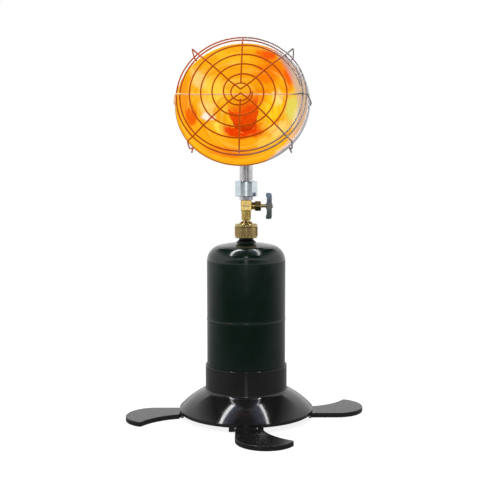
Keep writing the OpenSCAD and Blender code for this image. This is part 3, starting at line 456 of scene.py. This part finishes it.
def spun(corners, steps):
    bm = profileLoop(corners)
    bmesh.ops.spin(bm, geom=bm.verts[:] + bm.edges[:], cent=(0, 0, 0), axis=(0, 0, 1),
                   angle=2 * math.pi, steps=steps, use_merge=True)
    bmesh.ops.remove_doubles(bm, verts=bm.verts, dist=1e-6)
    bmesh.ops.recalc_face_normals(bm, faces=bm.faces)
    return bm


def curveBetween(start, startPull, endPull, end, steps):
    # profile points on one smooth curve
    points = interpolate_bezier(*[Vector((p[0], p[1], 0)) for p in (start, startPull, endPull, end)],
                                steps)
    return [(p.x, p.y) for p in points]


def fromNode(node):
    # a welded copy of a CAD node, its flat faces whole again
    bm = bmesh.new()
    bm.from_mesh(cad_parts[node].data)
    bmesh.ops.remove_doubles(bm, verts=bm.verts, dist=2e-6)
    bmesh.ops.dissolve_limit(bm, angle_limit=math.radians(0.3), verts=bm.verts, edges=bm.edges)
    return bm


def soften(bm, width, segments, sharp=30):
    # ease every edge that turns by more than so many degrees
    edges = [e for e in bm.edges if e.is_manifold and e.calc_face_angle(0) > math.radians(sharp)]
    bmesh.ops.bevel(bm, geom=edges, offset=width * mm, offset_type="OFFSET", affect="EDGES",
                    segments=segments, profile=0.5, material=-1)


def finish(bm, name, body, material, nodes=(), place=None, smoothTo=35):
    if place:
        bmesh.ops.transform(bm, matrix=place, verts=bm.verts)
    mesh = bpy.data.meshes.new(name)
    bm.to_mesh(mesh)
    bm.free()
    mesh.shade_smooth()
    mesh.set_sharp_from_angle(angle=math.radians(smoothTo))
    piece = bpy.data.objects.new(name, mesh)
    bpy.context.scene.collection.objects.link(piece)
    # flat and straight faces keep their own normals beside eased edges
    piece.modifiers.new("faceWeighted", "WEIGHTED_NORMAL").keep_sharp = True
    mesh.materials.append(finishes[material])
    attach(piece, body)
    if nodes:
        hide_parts(*nodes)


def addBox(bm, low, high, place):
    size = [(b - a) * mm for a, b in zip(low, high)]
    middle = [(b + a) / 2 * mm for a, b in zip(low, high)]
    matrix = Matrix.Translation(middle) @ Matrix.Diagonal((*size, 1))
    bmesh.ops.create_cube(bm, size=1, matrix=place @ matrix)


def addRod(bm, place, radius, length, segments):
    # a round bar along Y
    bmesh.ops.create_cone(bm, cap_ends=True, segments=segments, radius1=radius * mm,
                          radius2=radius * mm, depth=length * mm,
                          matrix=place @ Matrix.Rotation(math.pi / 2, 4, "X"))


baseMoulding = {"collarIn": 49.55, "collarOut": 51.35, "collarTop": 66.7, "shoulder": 34.8,
                "skirtR": 84.2, "skirtZ": 7, "lip": 4, "wall": 1.8, "seat": 16, "floor": 2.4,
                "drainR": 17, "bow": 2.1, "arcSteps": 24, "hollow": (2.2, 0.9), "under": (1.2, 1.8),
                "underStep": 6, "steps": 192}


def makeBase(s):
    lipTop = s["skirtZ"] + s["lip"]
    run, drop = s["skirtR"] - s["collarOut"], s["shoulder"] - lipTop
    # a small hollow at the collar's foot, then one swelling sweep down to the lip
    chord = math.hypot(run, drop)
    bend = 2 * math.asin(4 * s["bow"] * chord / (chord ** 2 + 4 * s["bow"] ** 2))
    fall = math.atan2(drop, run) - bend / 2
    radius = chord / 2 / math.sin(bend / 2)
    outer = []
    for step in range(s["arcSteps"] + 1):
        slope = fall + bend * step / s["arcSteps"]
        outer.append((s["collarOut"] + radius * (math.sin(slope) - math.sin(fall)),
                      s["shoulder"] - radius * (math.cos(fall) - math.cos(slope))))
    start, pull = [(s["collarOut"], s["shoulder"] + rise) for rise in s["hollow"]]
    outer = curveBetween(start, pull, outer[1], outer[2], 7) + outer[3:]
    inner = [(r - s["under"][0], z - s["under"][1]) for r, z in outer[6:-1]][::-1]
    corners = [(s["collarIn"], s["collarTop"], 0.5), (s["collarOut"], s["collarTop"], 0.7)]
    corners += outer
    corners += [(s["skirtR"], lipTop - 0.4), (s["skirtR"], s["skirtZ"], 0.6),
                (s["skirtR"] - s["wall"], s["skirtZ"], 0.6), (s["skirtR"] - s["wall"], lipTop - 1.6)]
    corners += inner
    corners += [(s["collarOut"], s["shoulder"] - s["underStep"]),
                (s["collarOut"], s["seat"] - s["floor"], 0.5),
                (s["drainR"], s["seat"] - s["floor"], 0.5), (s["drainR"], s["seat"], 0.5),
                (s["collarIn"], s["seat"], 0.8)]
    finish(spun(corners, s["steps"]), "baseMoulding", "base", "abs",
           ["stand_base"])


lugs = {"hingeR": 80, "hingeZ": 3.6, "lugR": 2.2, "lugMid": 17.1, "lugWide": 7.2, "top": 10.9,
        "ribT": 1.8, "ribZ": 8.4, "ribIn": 50.8, "ribUp": 8, "ribShort": 13, "restR": 83.3,
        "restT": 2.0, "restHalf": 11.2, "restZ": 6.1, "restUp": 5, "pinR": 1.1, "pinHalf": 20.9,
        "pinEdge": 0.25}


def makeLugs(s):
    bm = bmesh.new()
    pins = bmesh.new()
    for quarter in range(4):
        turn = Matrix.Rotation(math.pi / 2 * quarter, 4, "Z")
        for side in (-1, 1):
            middle = side * s["lugMid"]
            barrel = turn @ Matrix.Translation((s["hingeR"] * mm, middle * mm, s["hingeZ"] * mm))
            addRod(bm, barrel, s["lugR"], s["lugWide"], 40)
            addBox(bm, (s["hingeR"] - s["lugR"], middle - s["lugWide"] / 2, s["hingeZ"]),
                   (s["hingeR"] + s["lugR"], middle + s["lugWide"] / 2, s["top"]), turn)
            addBox(bm, (s["ribIn"], middle - s["ribT"] / 2, s["ribZ"]),
                   (s["hingeR"] - 1, middle + s["ribT"] / 2, s["top"]), turn)
            addBox(bm, (s["ribIn"], middle - s["ribT"] / 2, s["top"] - 0.5),
                   (s["hingeR"] - s["ribShort"], middle + s["ribT"] / 2, s["top"] + s["ribUp"]), turn)
        addBox(bm, (s["restR"] - s["restT"], -s["restHalf"], s["restZ"]),
               (s["restR"], s["restHalf"], s["restZ"] + s["restUp"]), turn)
        pin = turn @ Matrix.Translation((s["hingeR"] * mm, 0, s["hingeZ"] * mm))
        addRod(pins, pin, s["pinR"], 2 * s["pinHalf"], 32)
    soften(pins, s["pinEdge"], 2)
    finish(bm, "legLugs", "base", "abs")
    finish(pins, "hingePins", "base", "steel", ["hinge_pins"])


makeBase(baseMoulding)
makeLugs(lugs)
print("base made")

legs = {"edge": 0.8, "nodes": ("leg_front", "leg_right", "leg_back", "leg_left")}
for node in legs["nodes"]:
    bm = fromNode(node)
    soften(bm, legs["edge"], 3)
    finish(bm, node.replace("leg_", "leg."), node, "legAbs", [node])
print("legs made")


gasCylinder = {"radius": 49.25, "wall": 1.1, "top": 221, "lower": 20, "seam": 124.7, "knuckle": 20,
               "crown": 155, "knuckleSteps": 16, "crownSteps": 9, "bore": 10.1, "rise": 0.25,
               "lap": 6, "lapGap": 0.05, "lapStep": (3, 1.5), "steps": 192}


def domeCorners(s, inset):
    # knuckle and crown as arcs, from the side to the axis
    knuckleX = s["radius"] - s["knuckle"]
    reach = s["crown"] - s["knuckle"]
    knuckleZ = s["top"] - s["crown"] + math.sqrt(reach ** 2 - knuckleX ** 2)
    meet = 90 - math.degrees(math.asin(knuckleX / reach))
    points = []
    for step in range(s["knuckleSteps"] + 1):
        a = math.radians(meet * step / s["knuckleSteps"])
        points.append((knuckleX + (s["knuckle"] - inset) * math.cos(a),
                       knuckleZ + (s["knuckle"] - inset) * math.sin(a)))
    for step in range(1, s["crownSteps"]):
        a = math.radians(meet + (90 - meet) * step / s["crownSteps"])
        points.append(((s["crown"] - inset) * math.cos(a),
                       s["top"] - s["crown"] + (s["crown"] - inset) * math.sin(a)))
    return points


def makeCylinder(s):
    r, t, bore, gap = s["radius"], s["wall"], s["bore"], s["lapGap"]
    keep, inside = [[p for p in domeCorners(s, inset) if p[0] > bore + 1] for inset in (0, t)]
    # upper shell, with its neck hole and the sleeve that goes down into the lower one
    topZ = keep[-1][1] + s["rise"]
    upper = [(r - 2 * t, s["seam"] - s["lap"]), (r - t - gap, s["seam"] - s["lap"]),
             (r - t - gap, s["seam"]), (r, s["seam"])] + keep + [(bore, topZ), (bore, topZ - t)]
    upper += inside[::-1] + [(r - i * t, s["seam"] + up) for i, up in zip((1, 2), s["lapStep"])]
    finish(spun(upper, s["steps"]), "cylinderUpper", "cylinder", "enamel",
           ["cylinder_upper"])
    flip = s["lower"] + s["top"]
    lower = [(r, s["seam"] - gap)] + [(x, flip - z) for x, z in domeCorners(s, 0)] + [(0, s["lower"])]
    lower += [(0, s["lower"] + t)] + [(x, flip - z) for x, z in domeCorners(s, t)][::-1]
    lower += [(r - t, s["seam"] - gap)]
    finish(spun(lower, s["steps"]), "cylinderLower", "cylinder", "enamel",
           ["cylinder_lower"])


weldBead = {"radius": 49.27, "proud": 0.43, "half": 3.2, "seam": 124.7, "foot": (0.1, 1.2),
            "crest": (0.12, 0.9), "sunk": 0.3, "steps": 192}


def makeBead(s):
    seam, (footR, foot), (crestR, crest) = s["seam"], s["foot"], s["crest"]
    low, high, r, out = seam - s["half"], seam + s["half"], s["radius"], s["radius"] + s["proud"]
    ridge = curveBetween((r + footR, seam - foot), (out + crestR, seam - crest),
                         (out + crestR, seam + crest), (r + footR, seam + foot), 13)
    bm = spun([(r - s["sunk"], low), (r, low)] + ridge + [(r, high), (r - s["sunk"], high)],
              s["steps"])
    finish(bm, "weldBead", "cylinder", "enamel", ["weld_bead"])


valveBoss = {"steps": 128, "corners": [
    (10, 208.2), (10, 220.6), (12.2, 220.6, 0.2), (12.2, 221.7, 0.4), (10.2, 223, 1.2),
    (8.75, 225, 1.0), (8.75, 226.5), (11.7, 226.9, 0.2), (12.7, 228, 0.2), (12.7, 236.4, 0.2),
    (11.7, 237.4, 0.2), (6.3, 237.4, 0.2), (6.3, 229), (3.3, 229), (3.3, 220), (5.6, 220),
    (5.6, 209.4), (2.9, 209.4), (2.9, 208.2)]}

makeCylinder(gasCylinder)
makeBead(weldBead)
finish(spun(valveBoss["corners"], valveBoss["steps"]), "valveBoss", "cylinder", "neck",
       ["valve_boss"])
print("cylinder made")


couplingNut = {
    "steps": 108, "rows": 15, "outer": 14.4, "root": 13.8, "low": 229.2, "high": 240.2,
    "foot": [(13.1, 226.5, 0.1), (13.4, 226.5, 0.1), (14.1, 227.2, 0.3), (14.1, 228.7, 0.2),
             (13.6, 229.0)],
    "head": [(13.6, 240.4), (14.1, 240.7, 0.2), (14.1, 243.2, 0.3), (13.2, 244, 0.3), (6.9, 244, 0.3),
             (6.5, 243.6), (6.5, 240.9), (12.8, 240.9), (12.8, 226.9)]}


def makeNut(s):
    # plain rims above and below, the knurled band between them
    rowStep = (s["high"] - s["low"]) / s["rows"]
    band = [(s["outer"], s["low"] + rowStep * i) for i in range(s["rows"] + 1)]
    bm = spun(s["foot"] + band + s["head"], s["steps"])
    for vert in bm.verts:
        radius = math.hypot(vert.co.x, vert.co.y)
        row = (vert.co.z / mm - s["low"]) / rowStep
        if radius > (s["outer"] - 0.05) * mm and -0.1 < row < s["rows"] + 0.1:
            column = round(math.atan2(vert.co.y, vert.co.x) / (2 * math.pi) * s["steps"])
            if (column + round(row)) % 2:
                vert.co.xy *= s["root"] / s["outer"]
    finish(bm, "couplingNut", "coupling_nut", "knurled", ["coupling_nut"], smoothTo=12)


makeNut(couplingNut)

inletNipple = {"steps": 128, "corners": [
    (1.7, 231, 0.2), (4.1, 231, 0.3), (4.7, 231.8, 0.3), (4.7, 238.4), (10.6, 238.4, 0.2),
    (10.6, 240.8), (6.4, 240.8), (6.4, 244.1), (7.6, 244.1, 0.2), (8.6, 244.7, 0.3),
    (8.6, 245.3, 0.3), (6.2, 247.1, 0.5), (5, 247.1, 0.4), (5, 249.2), (3.6, 249.2),
    (3.6, 253.2), (1.7, 253.2)]}
finish(spun(inletNipple["corners"], inletNipple["steps"]), "inletNipple", "heater", "turned",
       ["inlet_nipple"])
print("coupling made")

# valve pieces keep their machined shape, with the edges eased
easedParts = {
    "valveBody": ("valve_body", "heater", "forged", "brass", 0.5),
    "blankingPlug": ("blanking_plug", "heater", "turned", "brass", 0.25),
    "packingNut": ("packing_nut", "heater", "turned", "brass", 0.3),
    "knobBar": ("knob", "knob", "nylon", "slate_plastic", 0.35),
    "clampNut": ("clamp_nut", "heater", "steel", "zinc_steel", 0.4),
}
for name, (node, body, finishName, slot, width) in easedParts.items():
    bm = fromNode(node)
    soften(bm, width, 3)
    finish(bm, name, body, finishName, [node])

airShroud = {"low": 278.2, "high": 297.5, "corner": 14.0, "crown": 0.55, "bore": 10.55, "tube": 8.3,
             "roof": 4, "edge": 0.8, "rim": 3, "steps": 144}


def makeShroud(s):
    # spun round first, then the outer wall is drawn in to six slightly crowned flats
    bm = spun([(s["bore"], s["low"]), (s["corner"], s["low"], s["edge"]),
               (s["corner"], s["low"] + s["rim"]), (s["corner"], s["high"] - s["rim"]),
               (s["corner"], s["high"], s["edge"]), (s["tube"], s["high"], 0.2),
               (s["tube"], s["high"] - s["roof"]), (s["bore"], s["high"] - s["roof"])], s["steps"])
    apothem = s["corner"] * math.cos(math.pi / 6)
    for vert in bm.verts:
        radius = math.hypot(vert.co.x, vert.co.y)
        if radius > (s["corner"] - 1) * mm:
            off = (math.atan2(vert.co.y, vert.co.x) % (math.pi / 3)) - math.pi / 6
            bulge = s["crown"] * (1 - (math.tan(off) / math.tan(math.pi / 6)) ** 2)
            vert.co.xy *= (apothem / math.cos(off) + bulge) / s["corner"]
    finish(bm, "airShroud", "heater", "zinc", ["air_shroud"])


makeShroud(airShroud)
print("valve and mixer made")


reflector = {"rimR": 77.2, "roll": 1.9, "rollFrom": 228, "rollTo": 540, "rollSteps": 24,
             "neckR": 10, "wall": 0.8, "outerLip": ((2.2, -1.6), (1.4, -1.5)), "innerLip": (2.46, -0.8),
             "rimLevel": -0.6, "steps": 224, "rows": 40}


def makeReflector(s):
    span, depth, seatR = bowl["run"], bowl["depth"], bowl["seatR"]
    outer, inner = [], []
    for step in range(s["rows"]):
        part = step / s["rows"]
        lean = math.atan(2 * (depth - 1) * part / span)
        r, z = seatR + span * part, -depth + (depth - 1) * part * part
        outer.append((r, z))
        inner.append((r - s["wall"] * math.sin(lean), z + s["wall"] * math.cos(lean)))
    # the rolled rim, open at its foot as the sheet turns back on itself
    roll = []
    for step in range(s["rollSteps"] + 1):
        a = math.radians(s["rollFrom"] + (s["rollTo"] - s["rollFrom"]) * step / s["rollSteps"])
        roll.append((s["rimR"] + s["roll"] * math.cos(a), s["roll"] * math.sin(a)))
    outerLip = [(s["rimR"] - back, z) for back, z in s["outerLip"]]
    innerLip = (s["rimR"] - s["innerLip"][0], s["innerLip"][1])
    bm = spun([(s["neckR"], -depth)] + outer + outerLip + roll + [innerLip] + inner[::-1]
              + [(s["neckR"], -depth + s["wall"])], s["steps"])
    # which side of the sheet a point lies on, for the painted glow
    inside = bm.verts.layers.float.new("inside")
    for vert in bm.verts:
        r, z = math.hypot(vert.co.x, vert.co.y) / mm, vert.co.z / mm
        sheet = (depth - 1) * (max(0, r - seatR) / span) ** 2 - depth
        level = sheet + s["wall"] / 2 if r < s["rimR"] - s["roll"] else s["rimLevel"]
        vert[inside] = 1.0 if z > level else 0.0
    finish(bm, "reflector", "heater", "dish", ["reflector"], headPlace)


makeReflector(reflector)

burnerCap = {"radius": 19, "low": 9.4, "shoulder": 15.6, "rise": 4.4, "inner": 17.85, "sheet": 1.0,
             "flange": 1.7, "pull": (0.72, 0.4), "steps": 160}


def makeCap(s):
    r, low, shoulder, top = s["radius"], s["low"], s["shoulder"], s["shoulder"] + s["rise"]
    dome = curveBetween((r - 1.2, shoulder), (r * s["pull"][0], top), (r * s["pull"][1], top),
                        (0, top), 14)
    corners = [(s["inner"], low, 0.2), (r, low, 0.3), (r, shoulder - 0.8, 0.5)] + dome
    corners += [(0, top - s["sheet"]), (r * 0.65, shoulder), (s["inner"] - 2, low + s["flange"]),
                (s["inner"], low + s["flange"])]
    finish(spun(corners, s["steps"]), "burnerCap", "heater", "cap",
           ["burner_cap"], headPlace)


makeCap(burnerCap)

# woven gauze that lines the slotted screen
gauze = {"radius": 16.7, "wall": 0.3, "low": -16.5, "high": 10.6, "steps": 96}
finish(spun([(gauze["radius"] - gauze["wall"], gauze["low"]), (gauze["radius"], gauze["low"]),
             (gauze["radius"], gauze["high"]), (gauze["radius"] - gauze["wall"], gauze["high"])],
            gauze["steps"]), "burnerGauze", "heater", "screen", (), headPlace)
print("burner and reflector made")


guard = {"wire": 0.88, "rise": 29, "edgeRise": 21, "edgeR": 74.8, "edgeGap": 4.2, "ringR": 11.2,
         "pitch": 13.2, "turnSteps": 64, "power": 3.2, "flare": 3.2, "lift": 2.1, "weld": 0.1,
         "short": 0.8, "spokeSteps": 12, "vStart": 16, "vPoint": 2.4, "sideStart": 4,
         "sideBend": (7.5, 12), "crossing": (1.5, 1.0), "rimR": 77.2, "grip": 3.0,
         "gripFrom": -12, "gripTo": -60, "gripSteps": 4, "hookTop": ((1.6, 0), (0.45, 0.5), (0, 1.7)),
         "hookFoot": 1.5, "splay": 0.39, "tail": ((0.25, 0.25), (0.87, 0.65), (1, 1)),
         "sideOut": 80.25, "sideLean": 4.2, "sideTail": 5.2, "cornerOut": 83.45, "cornerTail": 10.6}


def faceHeight(r):
    return guard["rise"] - (guard["rise"] - guard["edgeRise"]) * (r / guard["edgeR"]) ** guard["power"]


def makeWire(name, runs, nodes, closed=False, kind="POLY", material="wire"):
    curve = bpy.data.curves.new(name, "CURVE")
    curve.dimensions = "3D"
    curve.bevel_depth = guard["wire"] * mm
    curve.bevel_resolution = 3
    curve.use_fill_caps = True
    curve.resolution_u = 6
    for points in runs:
        spline = curve.splines.new(kind)
        spline.points.add(len(points) - 1)
        for point, place in zip(spline.points, points):
            point.co = (*(headPlace @ (Vector(place) * mm)), 1)
        spline.use_cyclic_u = closed
        if kind == "NURBS":
            spline.order_u = 3
            spline.use_endpoint_u = True
    piece = bpy.data.objects.new(name, curve)
    bpy.context.scene.collection.objects.link(piece)
    curve.materials.append(finishes[material])
    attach(piece, "heater")
    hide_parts(*nodes)


def faceSpot(r, a):
    return (r * math.cos(a), r * math.sin(a), faceHeight(r))


def roundRing(r, steps):
    return [faceSpot(r, 2 * math.pi * i / steps) for i in range(steps)]


def makeGuard(s):
    innerEdge = s["edgeR"] - s["edgeGap"]
    beside = 2 * s["wire"] + s["weld"]
    startR, endR = s["ringR"] + beside, innerEdge - beside
    turns = (endR - s["flare"] - startR) / s["pitch"]
    spiral = []
    count = math.ceil(turns * s["turnSteps"])
    for i in range(count + 1):
        turn = turns * i / count
        # the last quarter turn runs out to meet the edge ring
        last = max(0, 1 - 4 * (turns - turn))
        r = startR + s["pitch"] * turn + s["flare"] * last * last
        spiral.append(faceSpot(r, -2 * math.pi * turn))
    makeWire("guardSpiral", [spiral], ["guard_spiral"])
    makeWire("guardCentreRing", [roundRing(s["ringR"], 48)], ["guard_centre_ring"], True)
    makeWire("guardEdgeRings", [roundRing(s["edgeR"], 128), roundRing(innerEdge, 128)],
             ["guard_edge_rings"], True)
    # straight wires over the face, caught behind the rolled rim
    spokeEnd = s["edgeR"] - s["short"]

    def spoke(start):
        steps = s["spokeSteps"]
        radii = [start + (spokeEnd - start) * i / steps for i in range(steps + 1)]
        return [(r, faceHeight(r) + s["lift"]) for r in radii]

    def sideSpoke():
        # behind the spiral, then up over the two edge rings
        flat = endR - s["sideBend"][0]
        low = faceHeight(flat) - s["lift"]
        edge = faceHeight(innerEdge) + s["lift"]
        return [(s["sideStart"], low), (flat - s["sideBend"][1], low), (flat, low),
                (innerEdge - s["crossing"][0], edge), (innerEdge + s["crossing"][1], edge),
                (spokeEnd, faceHeight(spokeEnd) + s["lift"])]

    def hook(out, lean, tail):
        top = faceHeight(spokeEnd) + s["lift"]
        line = [(out - lean - x, top - z) for x, z in s["hookTop"]] + [(out, s["hookFoot"])]
        for i in range(s["gripSteps"] + 1):
            a = math.radians(s["gripFrom"] + (s["gripTo"] - s["gripFrom"]) * i / s["gripSteps"])
            line.append((s["rimR"] + s["grip"] * math.cos(a), s["grip"] * math.sin(a)))
        gripR, gripZ = line[-1]
        back = tail + gripZ
        return line + [(gripR + back * s["splay"] * x, gripZ - back * z) for x, z in s["tail"]]

    def turned(line, angle):
        a = math.radians(angle)
        return [(r * math.cos(a), r * math.sin(a), z) for r, z in line]

    corner = spoke(s["vStart"]) + hook(s["cornerOut"], 0, s["cornerTail"])
    side = sideSpoke() + hook(s["sideOut"], s["sideLean"], s["sideTail"])
    top = s["rise"] + s["lift"]
    for word, sign, first, second in (("Upper", 1, 45, 135), ("Lower", -1, 225, 315)):
        point = (0, sign * s["vPoint"], top)
        makeWire("guard" + word + "Wire",
                 [turned(corner, first)[::-1] + 2 * [point] + turned(corner, second)],
                 ["guard_" + word.lower() + "_wire"], kind="NURBS")
    makeWire("guardSideWire", [turned(side, 0)[::-1] + turned(side, 180)], ["guard_side_wire"],
             kind="NURBS", material="paleWire")
    makeWire("guardShortWires", [turned(spoke(s["ringR"] - 1), angle) for angle in (90, 270)],
             ["guard_short_wires"], kind="NURBS")


makeGuard(guard)
print("guard made")

# CAD nodes that keep their own mesh
nodeFinishes = {
    "foot_ring": "enamel", "relief_valve": "steel", "valve_core": "turned", "core_spring": "steel",
    "depressor_pin": "steel", "inlet_seal": "rubber", "packing_ring": "ptfe",
    "needle_stem": "turned", "knob_screw": "steel", "mixer_collar": "collar", "gas_jet": "turned",
    "mixing_tube": "tube", "clamp_washer": "steel", "burner_cup": "cup", "burner_screen": "screen",
}
for node, finishName in nodeFinishes.items():
    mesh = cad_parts[node].data
    mesh.materials.clear()
    mesh.materials.append(finishes[finishName])
print("node materials set:", len(nodeFinishes))


def addPlane(name, size, matrix, material):
    bm = bmesh.new()
    bmesh.ops.create_grid(bm, x_segments=1, y_segments=1, size=0.5,
                          matrix=matrix @ Matrix.Diagonal((*size, 1, 1)))
    mesh = bpy.data.meshes.new(name)
    bm.to_mesh(mesh)
    bm.free()
    mesh.materials.append(material)
    plane = bpy.data.objects.new(name, mesh)
    bpy.context.scene.collection.objects.link(plane)
    return plane


def seenRays(tree):
    # 1 for what the camera sees, also in metal and through glass
    rays = addNode(tree, "LightPath").outputs
    seen = calc(tree, "Math", "MAXIMUM", rays["Is Camera Ray"], rays["Is Glossy Ray"])
    return calc(tree, "Math", "MAXIMUM", seen, rays["Is Transmission Ray"])


def mixShaders(tree, factor, first, second, output):
    mix = addNode(tree, "MixShader", {}, {0: factor, 1: first.outputs[0], 2: second.outputs[0]})
    tree.links.new(mix.outputs[0], output.inputs["Surface"])


def glowing(tree, colour, strength):
    node = addNode(tree, "Emission", {"Color": (*colour, 1)})
    if isinstance(strength, bpy.types.NodeSocket):
        tree.links.new(strength, node.inputs["Strength"])
    else:
        node.inputs["Strength"].default_value = strength
    return node


# matt white floor, lifted to full white for the camera but keeping the shadow
def floorMaterial():
    material, tree, shader, coords = startMaterial("whiteFloor", {
        "Roughness": 0.9, "Base Color": linear("F2F2F2"), "Specular IOR Level": 0.1})
    share = calc(tree, "Math", "MULTIPLY", seenRays(tree), 0.75)
    mixShaders(tree, share, shader, glowing(tree, (1, 1, 1), 1.15), tree.nodes["Material Output"])
    return material


addPlane("floor", (30, 30), Matrix.Translation((0, 0, -0.0002)), floorMaterial())


# cards that only the shiny surfaces see, clear where their gradient ends
def cardMaterial(name, dark, clear, shade="000000"):
    material, tree, shader, coords = startMaterial(name, {
        "Roughness": 1.0, "Base Color": linear("050505"), "Specular IOR Level": 0,
        "Emission Color": linear(shade), "Emission Strength": 1.0})
    aside = calc(tree, "Math", "ABSOLUTE", partOf(tree, coords, "X"))
    mixShaders(tree, ranged(tree, aside, dark, clear), shader, addNode(tree, "BsdfTransparent"),
               tree.nodes["Material Output"])
    return material


# a lit card: its light fades from one side to the other
def litCardMaterial(name, direction, low, high, colour, weak, strong):
    material, tree, shader, coords = startMaterial(name, {})
    across = calc(tree, "VectorMath", "DOT_PRODUCT", coords, direction)
    light = glowing(tree, colour, ranged(tree, across, low, high, weak, strong))
    tree.links.new(light.outputs[0], tree.nodes["Material Output"].inputs["Surface"])
    return material


def addCard(name, size, matrix, material):
    plane = addPlane(name, size, matrix, material)
    plane.visible_camera = False
    plane.visible_diffuse = False
    plane.visible_shadow = False
    plane.visible_transmission = False


# beside the lens, dark above and grey below: they draw the dark bands in the bright metal
flags = {"near": 0.13, "wide": 4.4, "back": -1.75, "split": 0.25, "top": 1.17, "dark": 0.1,
         "clear": 5.2, "grey": "C8C8C8", "greyClear": 2.0}
darkCard = cardMaterial("darkFlagCard", flags["dark"], flags["clear"])
greyCard = cardMaterial("greyFlagCard", flags["dark"], flags["greyClear"], flags["grey"])
upright = Matrix.Rotation(math.radians(-90), 4, "X")
for side, word in ((-1, "Left"), (1, "Right")):
    centre = side * (flags["near"] + flags["wide"] / 2)
    for low, high, card in ((0, flags["split"], greyCard), (flags["split"], flags["top"], darkCard)):
        place = Matrix.Translation((centre, flags["back"], (low + high) / 2))
        addCard("flag" + word, (flags["wide"], high - low), place @ upright, card)

# the table as the gloss sees it: nearly black in front, grey behind
table = {"size": (4, 4), "low": -0.5, "high": 0.6, "weak": 0.03, "strong": 0.5}
addCard("tableCard", table["size"], Matrix.Translation((0, 0, 0.0001)), litCardMaterial(
    "tableCard", (0, 1, 0), table["low"], table["high"], (1, 1, 1), table["weak"], table["strong"]))

# a thin bright strip on the table in front of the collar
glint = {"at": (0, -0.23, 0.0003), "size": (0.026, 0.14), "colour": (0.85, 1, 0.95), "level": 0.6}
addCard("glintCard", glint["size"], Matrix.Translation(glint["at"]), litCardMaterial(
    "glintCard", (0, 1, 0), -1, 1, glint["colour"], glint["level"], glint["level"]))

# a black ceiling between the strips
ceiling = {"size": (4, 3.6), "at": (0, 0.2, 1.6), "dark": 0.95, "clear": 1.9}
addCard("ceilingCard", ceiling["size"], Matrix.Translation(ceiling["at"]),
        cardMaterial("ceilingCard", ceiling["dark"], ceiling["clear"]))

# two splayed strips overhead, dim ones behind them, one behind the lens, a small one high in
# front, a soft key
lamps = {
    "stripLeft": {"at": (-0.395, 0.045, 1.16), "size": (0.09, 1.2), "turn": -36.1, "watts": 6.0},
    "stripRight": {"at": (0.348, 0.087, 1.16), "size": (0.06, 1.05), "turn": 24.4, "watts": 3.2},
    "backLeft": {"at": (-0.35, 0.932, 1.16), "size": (0.04, 0.87), "turn": 29.6, "watts": 0.45},
    "backRight": {"at": (0.35, 0.932, 1.16), "size": (0.04, 0.87), "turn": -29.6, "watts": 0.45},
    "lensStrip": {"at": (0.0, -1.9, 0.5), "to": (0, 0, 0.25), "size": (0.08, 1.6), "watts": 0.5},
    "highSpot": {"at": (0.0, -1.2, 1.6), "to": (0, 0, 0.2), "size": (0.12, 0.12), "watts": 1.4},
    "key": {"at": (-1.1, -1.3, 1.5), "to": (0, 0, 0.2), "size": (0.8, 0.8), "watts": 12},
}

# soft blue panels inside the strips, brightest beside them
panels = {"size": (0.34, 1.0), "height": 1.17, "colour": (0.62, 0.72, 1.0), "strong": 1.5}
for word, inward in (("Left", 1), ("Right", -1)):
    strip = lamps["strip" + word]
    wide = panels["size"][0]
    place = (Matrix.Translation((*strip["at"][:2], panels["height"]))
             @ Matrix.Rotation(math.radians(strip["turn"]), 4, "Z")
             @ Matrix.Translation((inward * (wide / 2 + strip["size"][0] / 2), 0, 0)))
    across = place.to_3x3() @ Vector((inward, 0, 0))
    start = across.dot(place.translation) - wide / 2
    addCard("panel" + word, panels["size"], place, litCardMaterial(
        "panel" + word, tuple(across), start, start + wide, panels["colour"], panels["strong"], 0))

# even soft light all round, and white wherever the room itself is seen
world = bpy.data.worlds.new("studio")
bpy.context.scene.world = world
world.use_nodes = True
tree = world.node_tree
tree.nodes.clear()
soft = addNode(tree, "Background", {"Color": (1, 1, 1, 1), "Strength": 0.6})
backdrop = addNode(tree, "Background", {"Color": (1, 1, 1, 1), "Strength": 1.0})
mixShaders(tree, seenRays(tree), soft, backdrop, addNode(tree, "OutputWorld"))

for name, s in lamps.items():
    lamp = bpy.data.lights.new(name, "AREA")
    lamp.shape = "RECTANGLE"
    lamp.size, lamp.size_y = s["size"]
    lamp.energy = s["watts"]
    holder = bpy.data.objects.new(name, lamp)
    holder.location = s["at"]
    if "turn" in s:
        holder.rotation_euler = (0, 0, math.radians(s["turn"]))
    else:
        holder.rotation_euler = (Vector(s["to"]) - Vector(s["at"])).to_track_quat("-Z", "Y").to_euler()
    # the key only lightens the matt surfaces
    holder.visible_glossy = name != "key"
    bpy.context.scene.collection.objects.link(holder)
print("studio set")
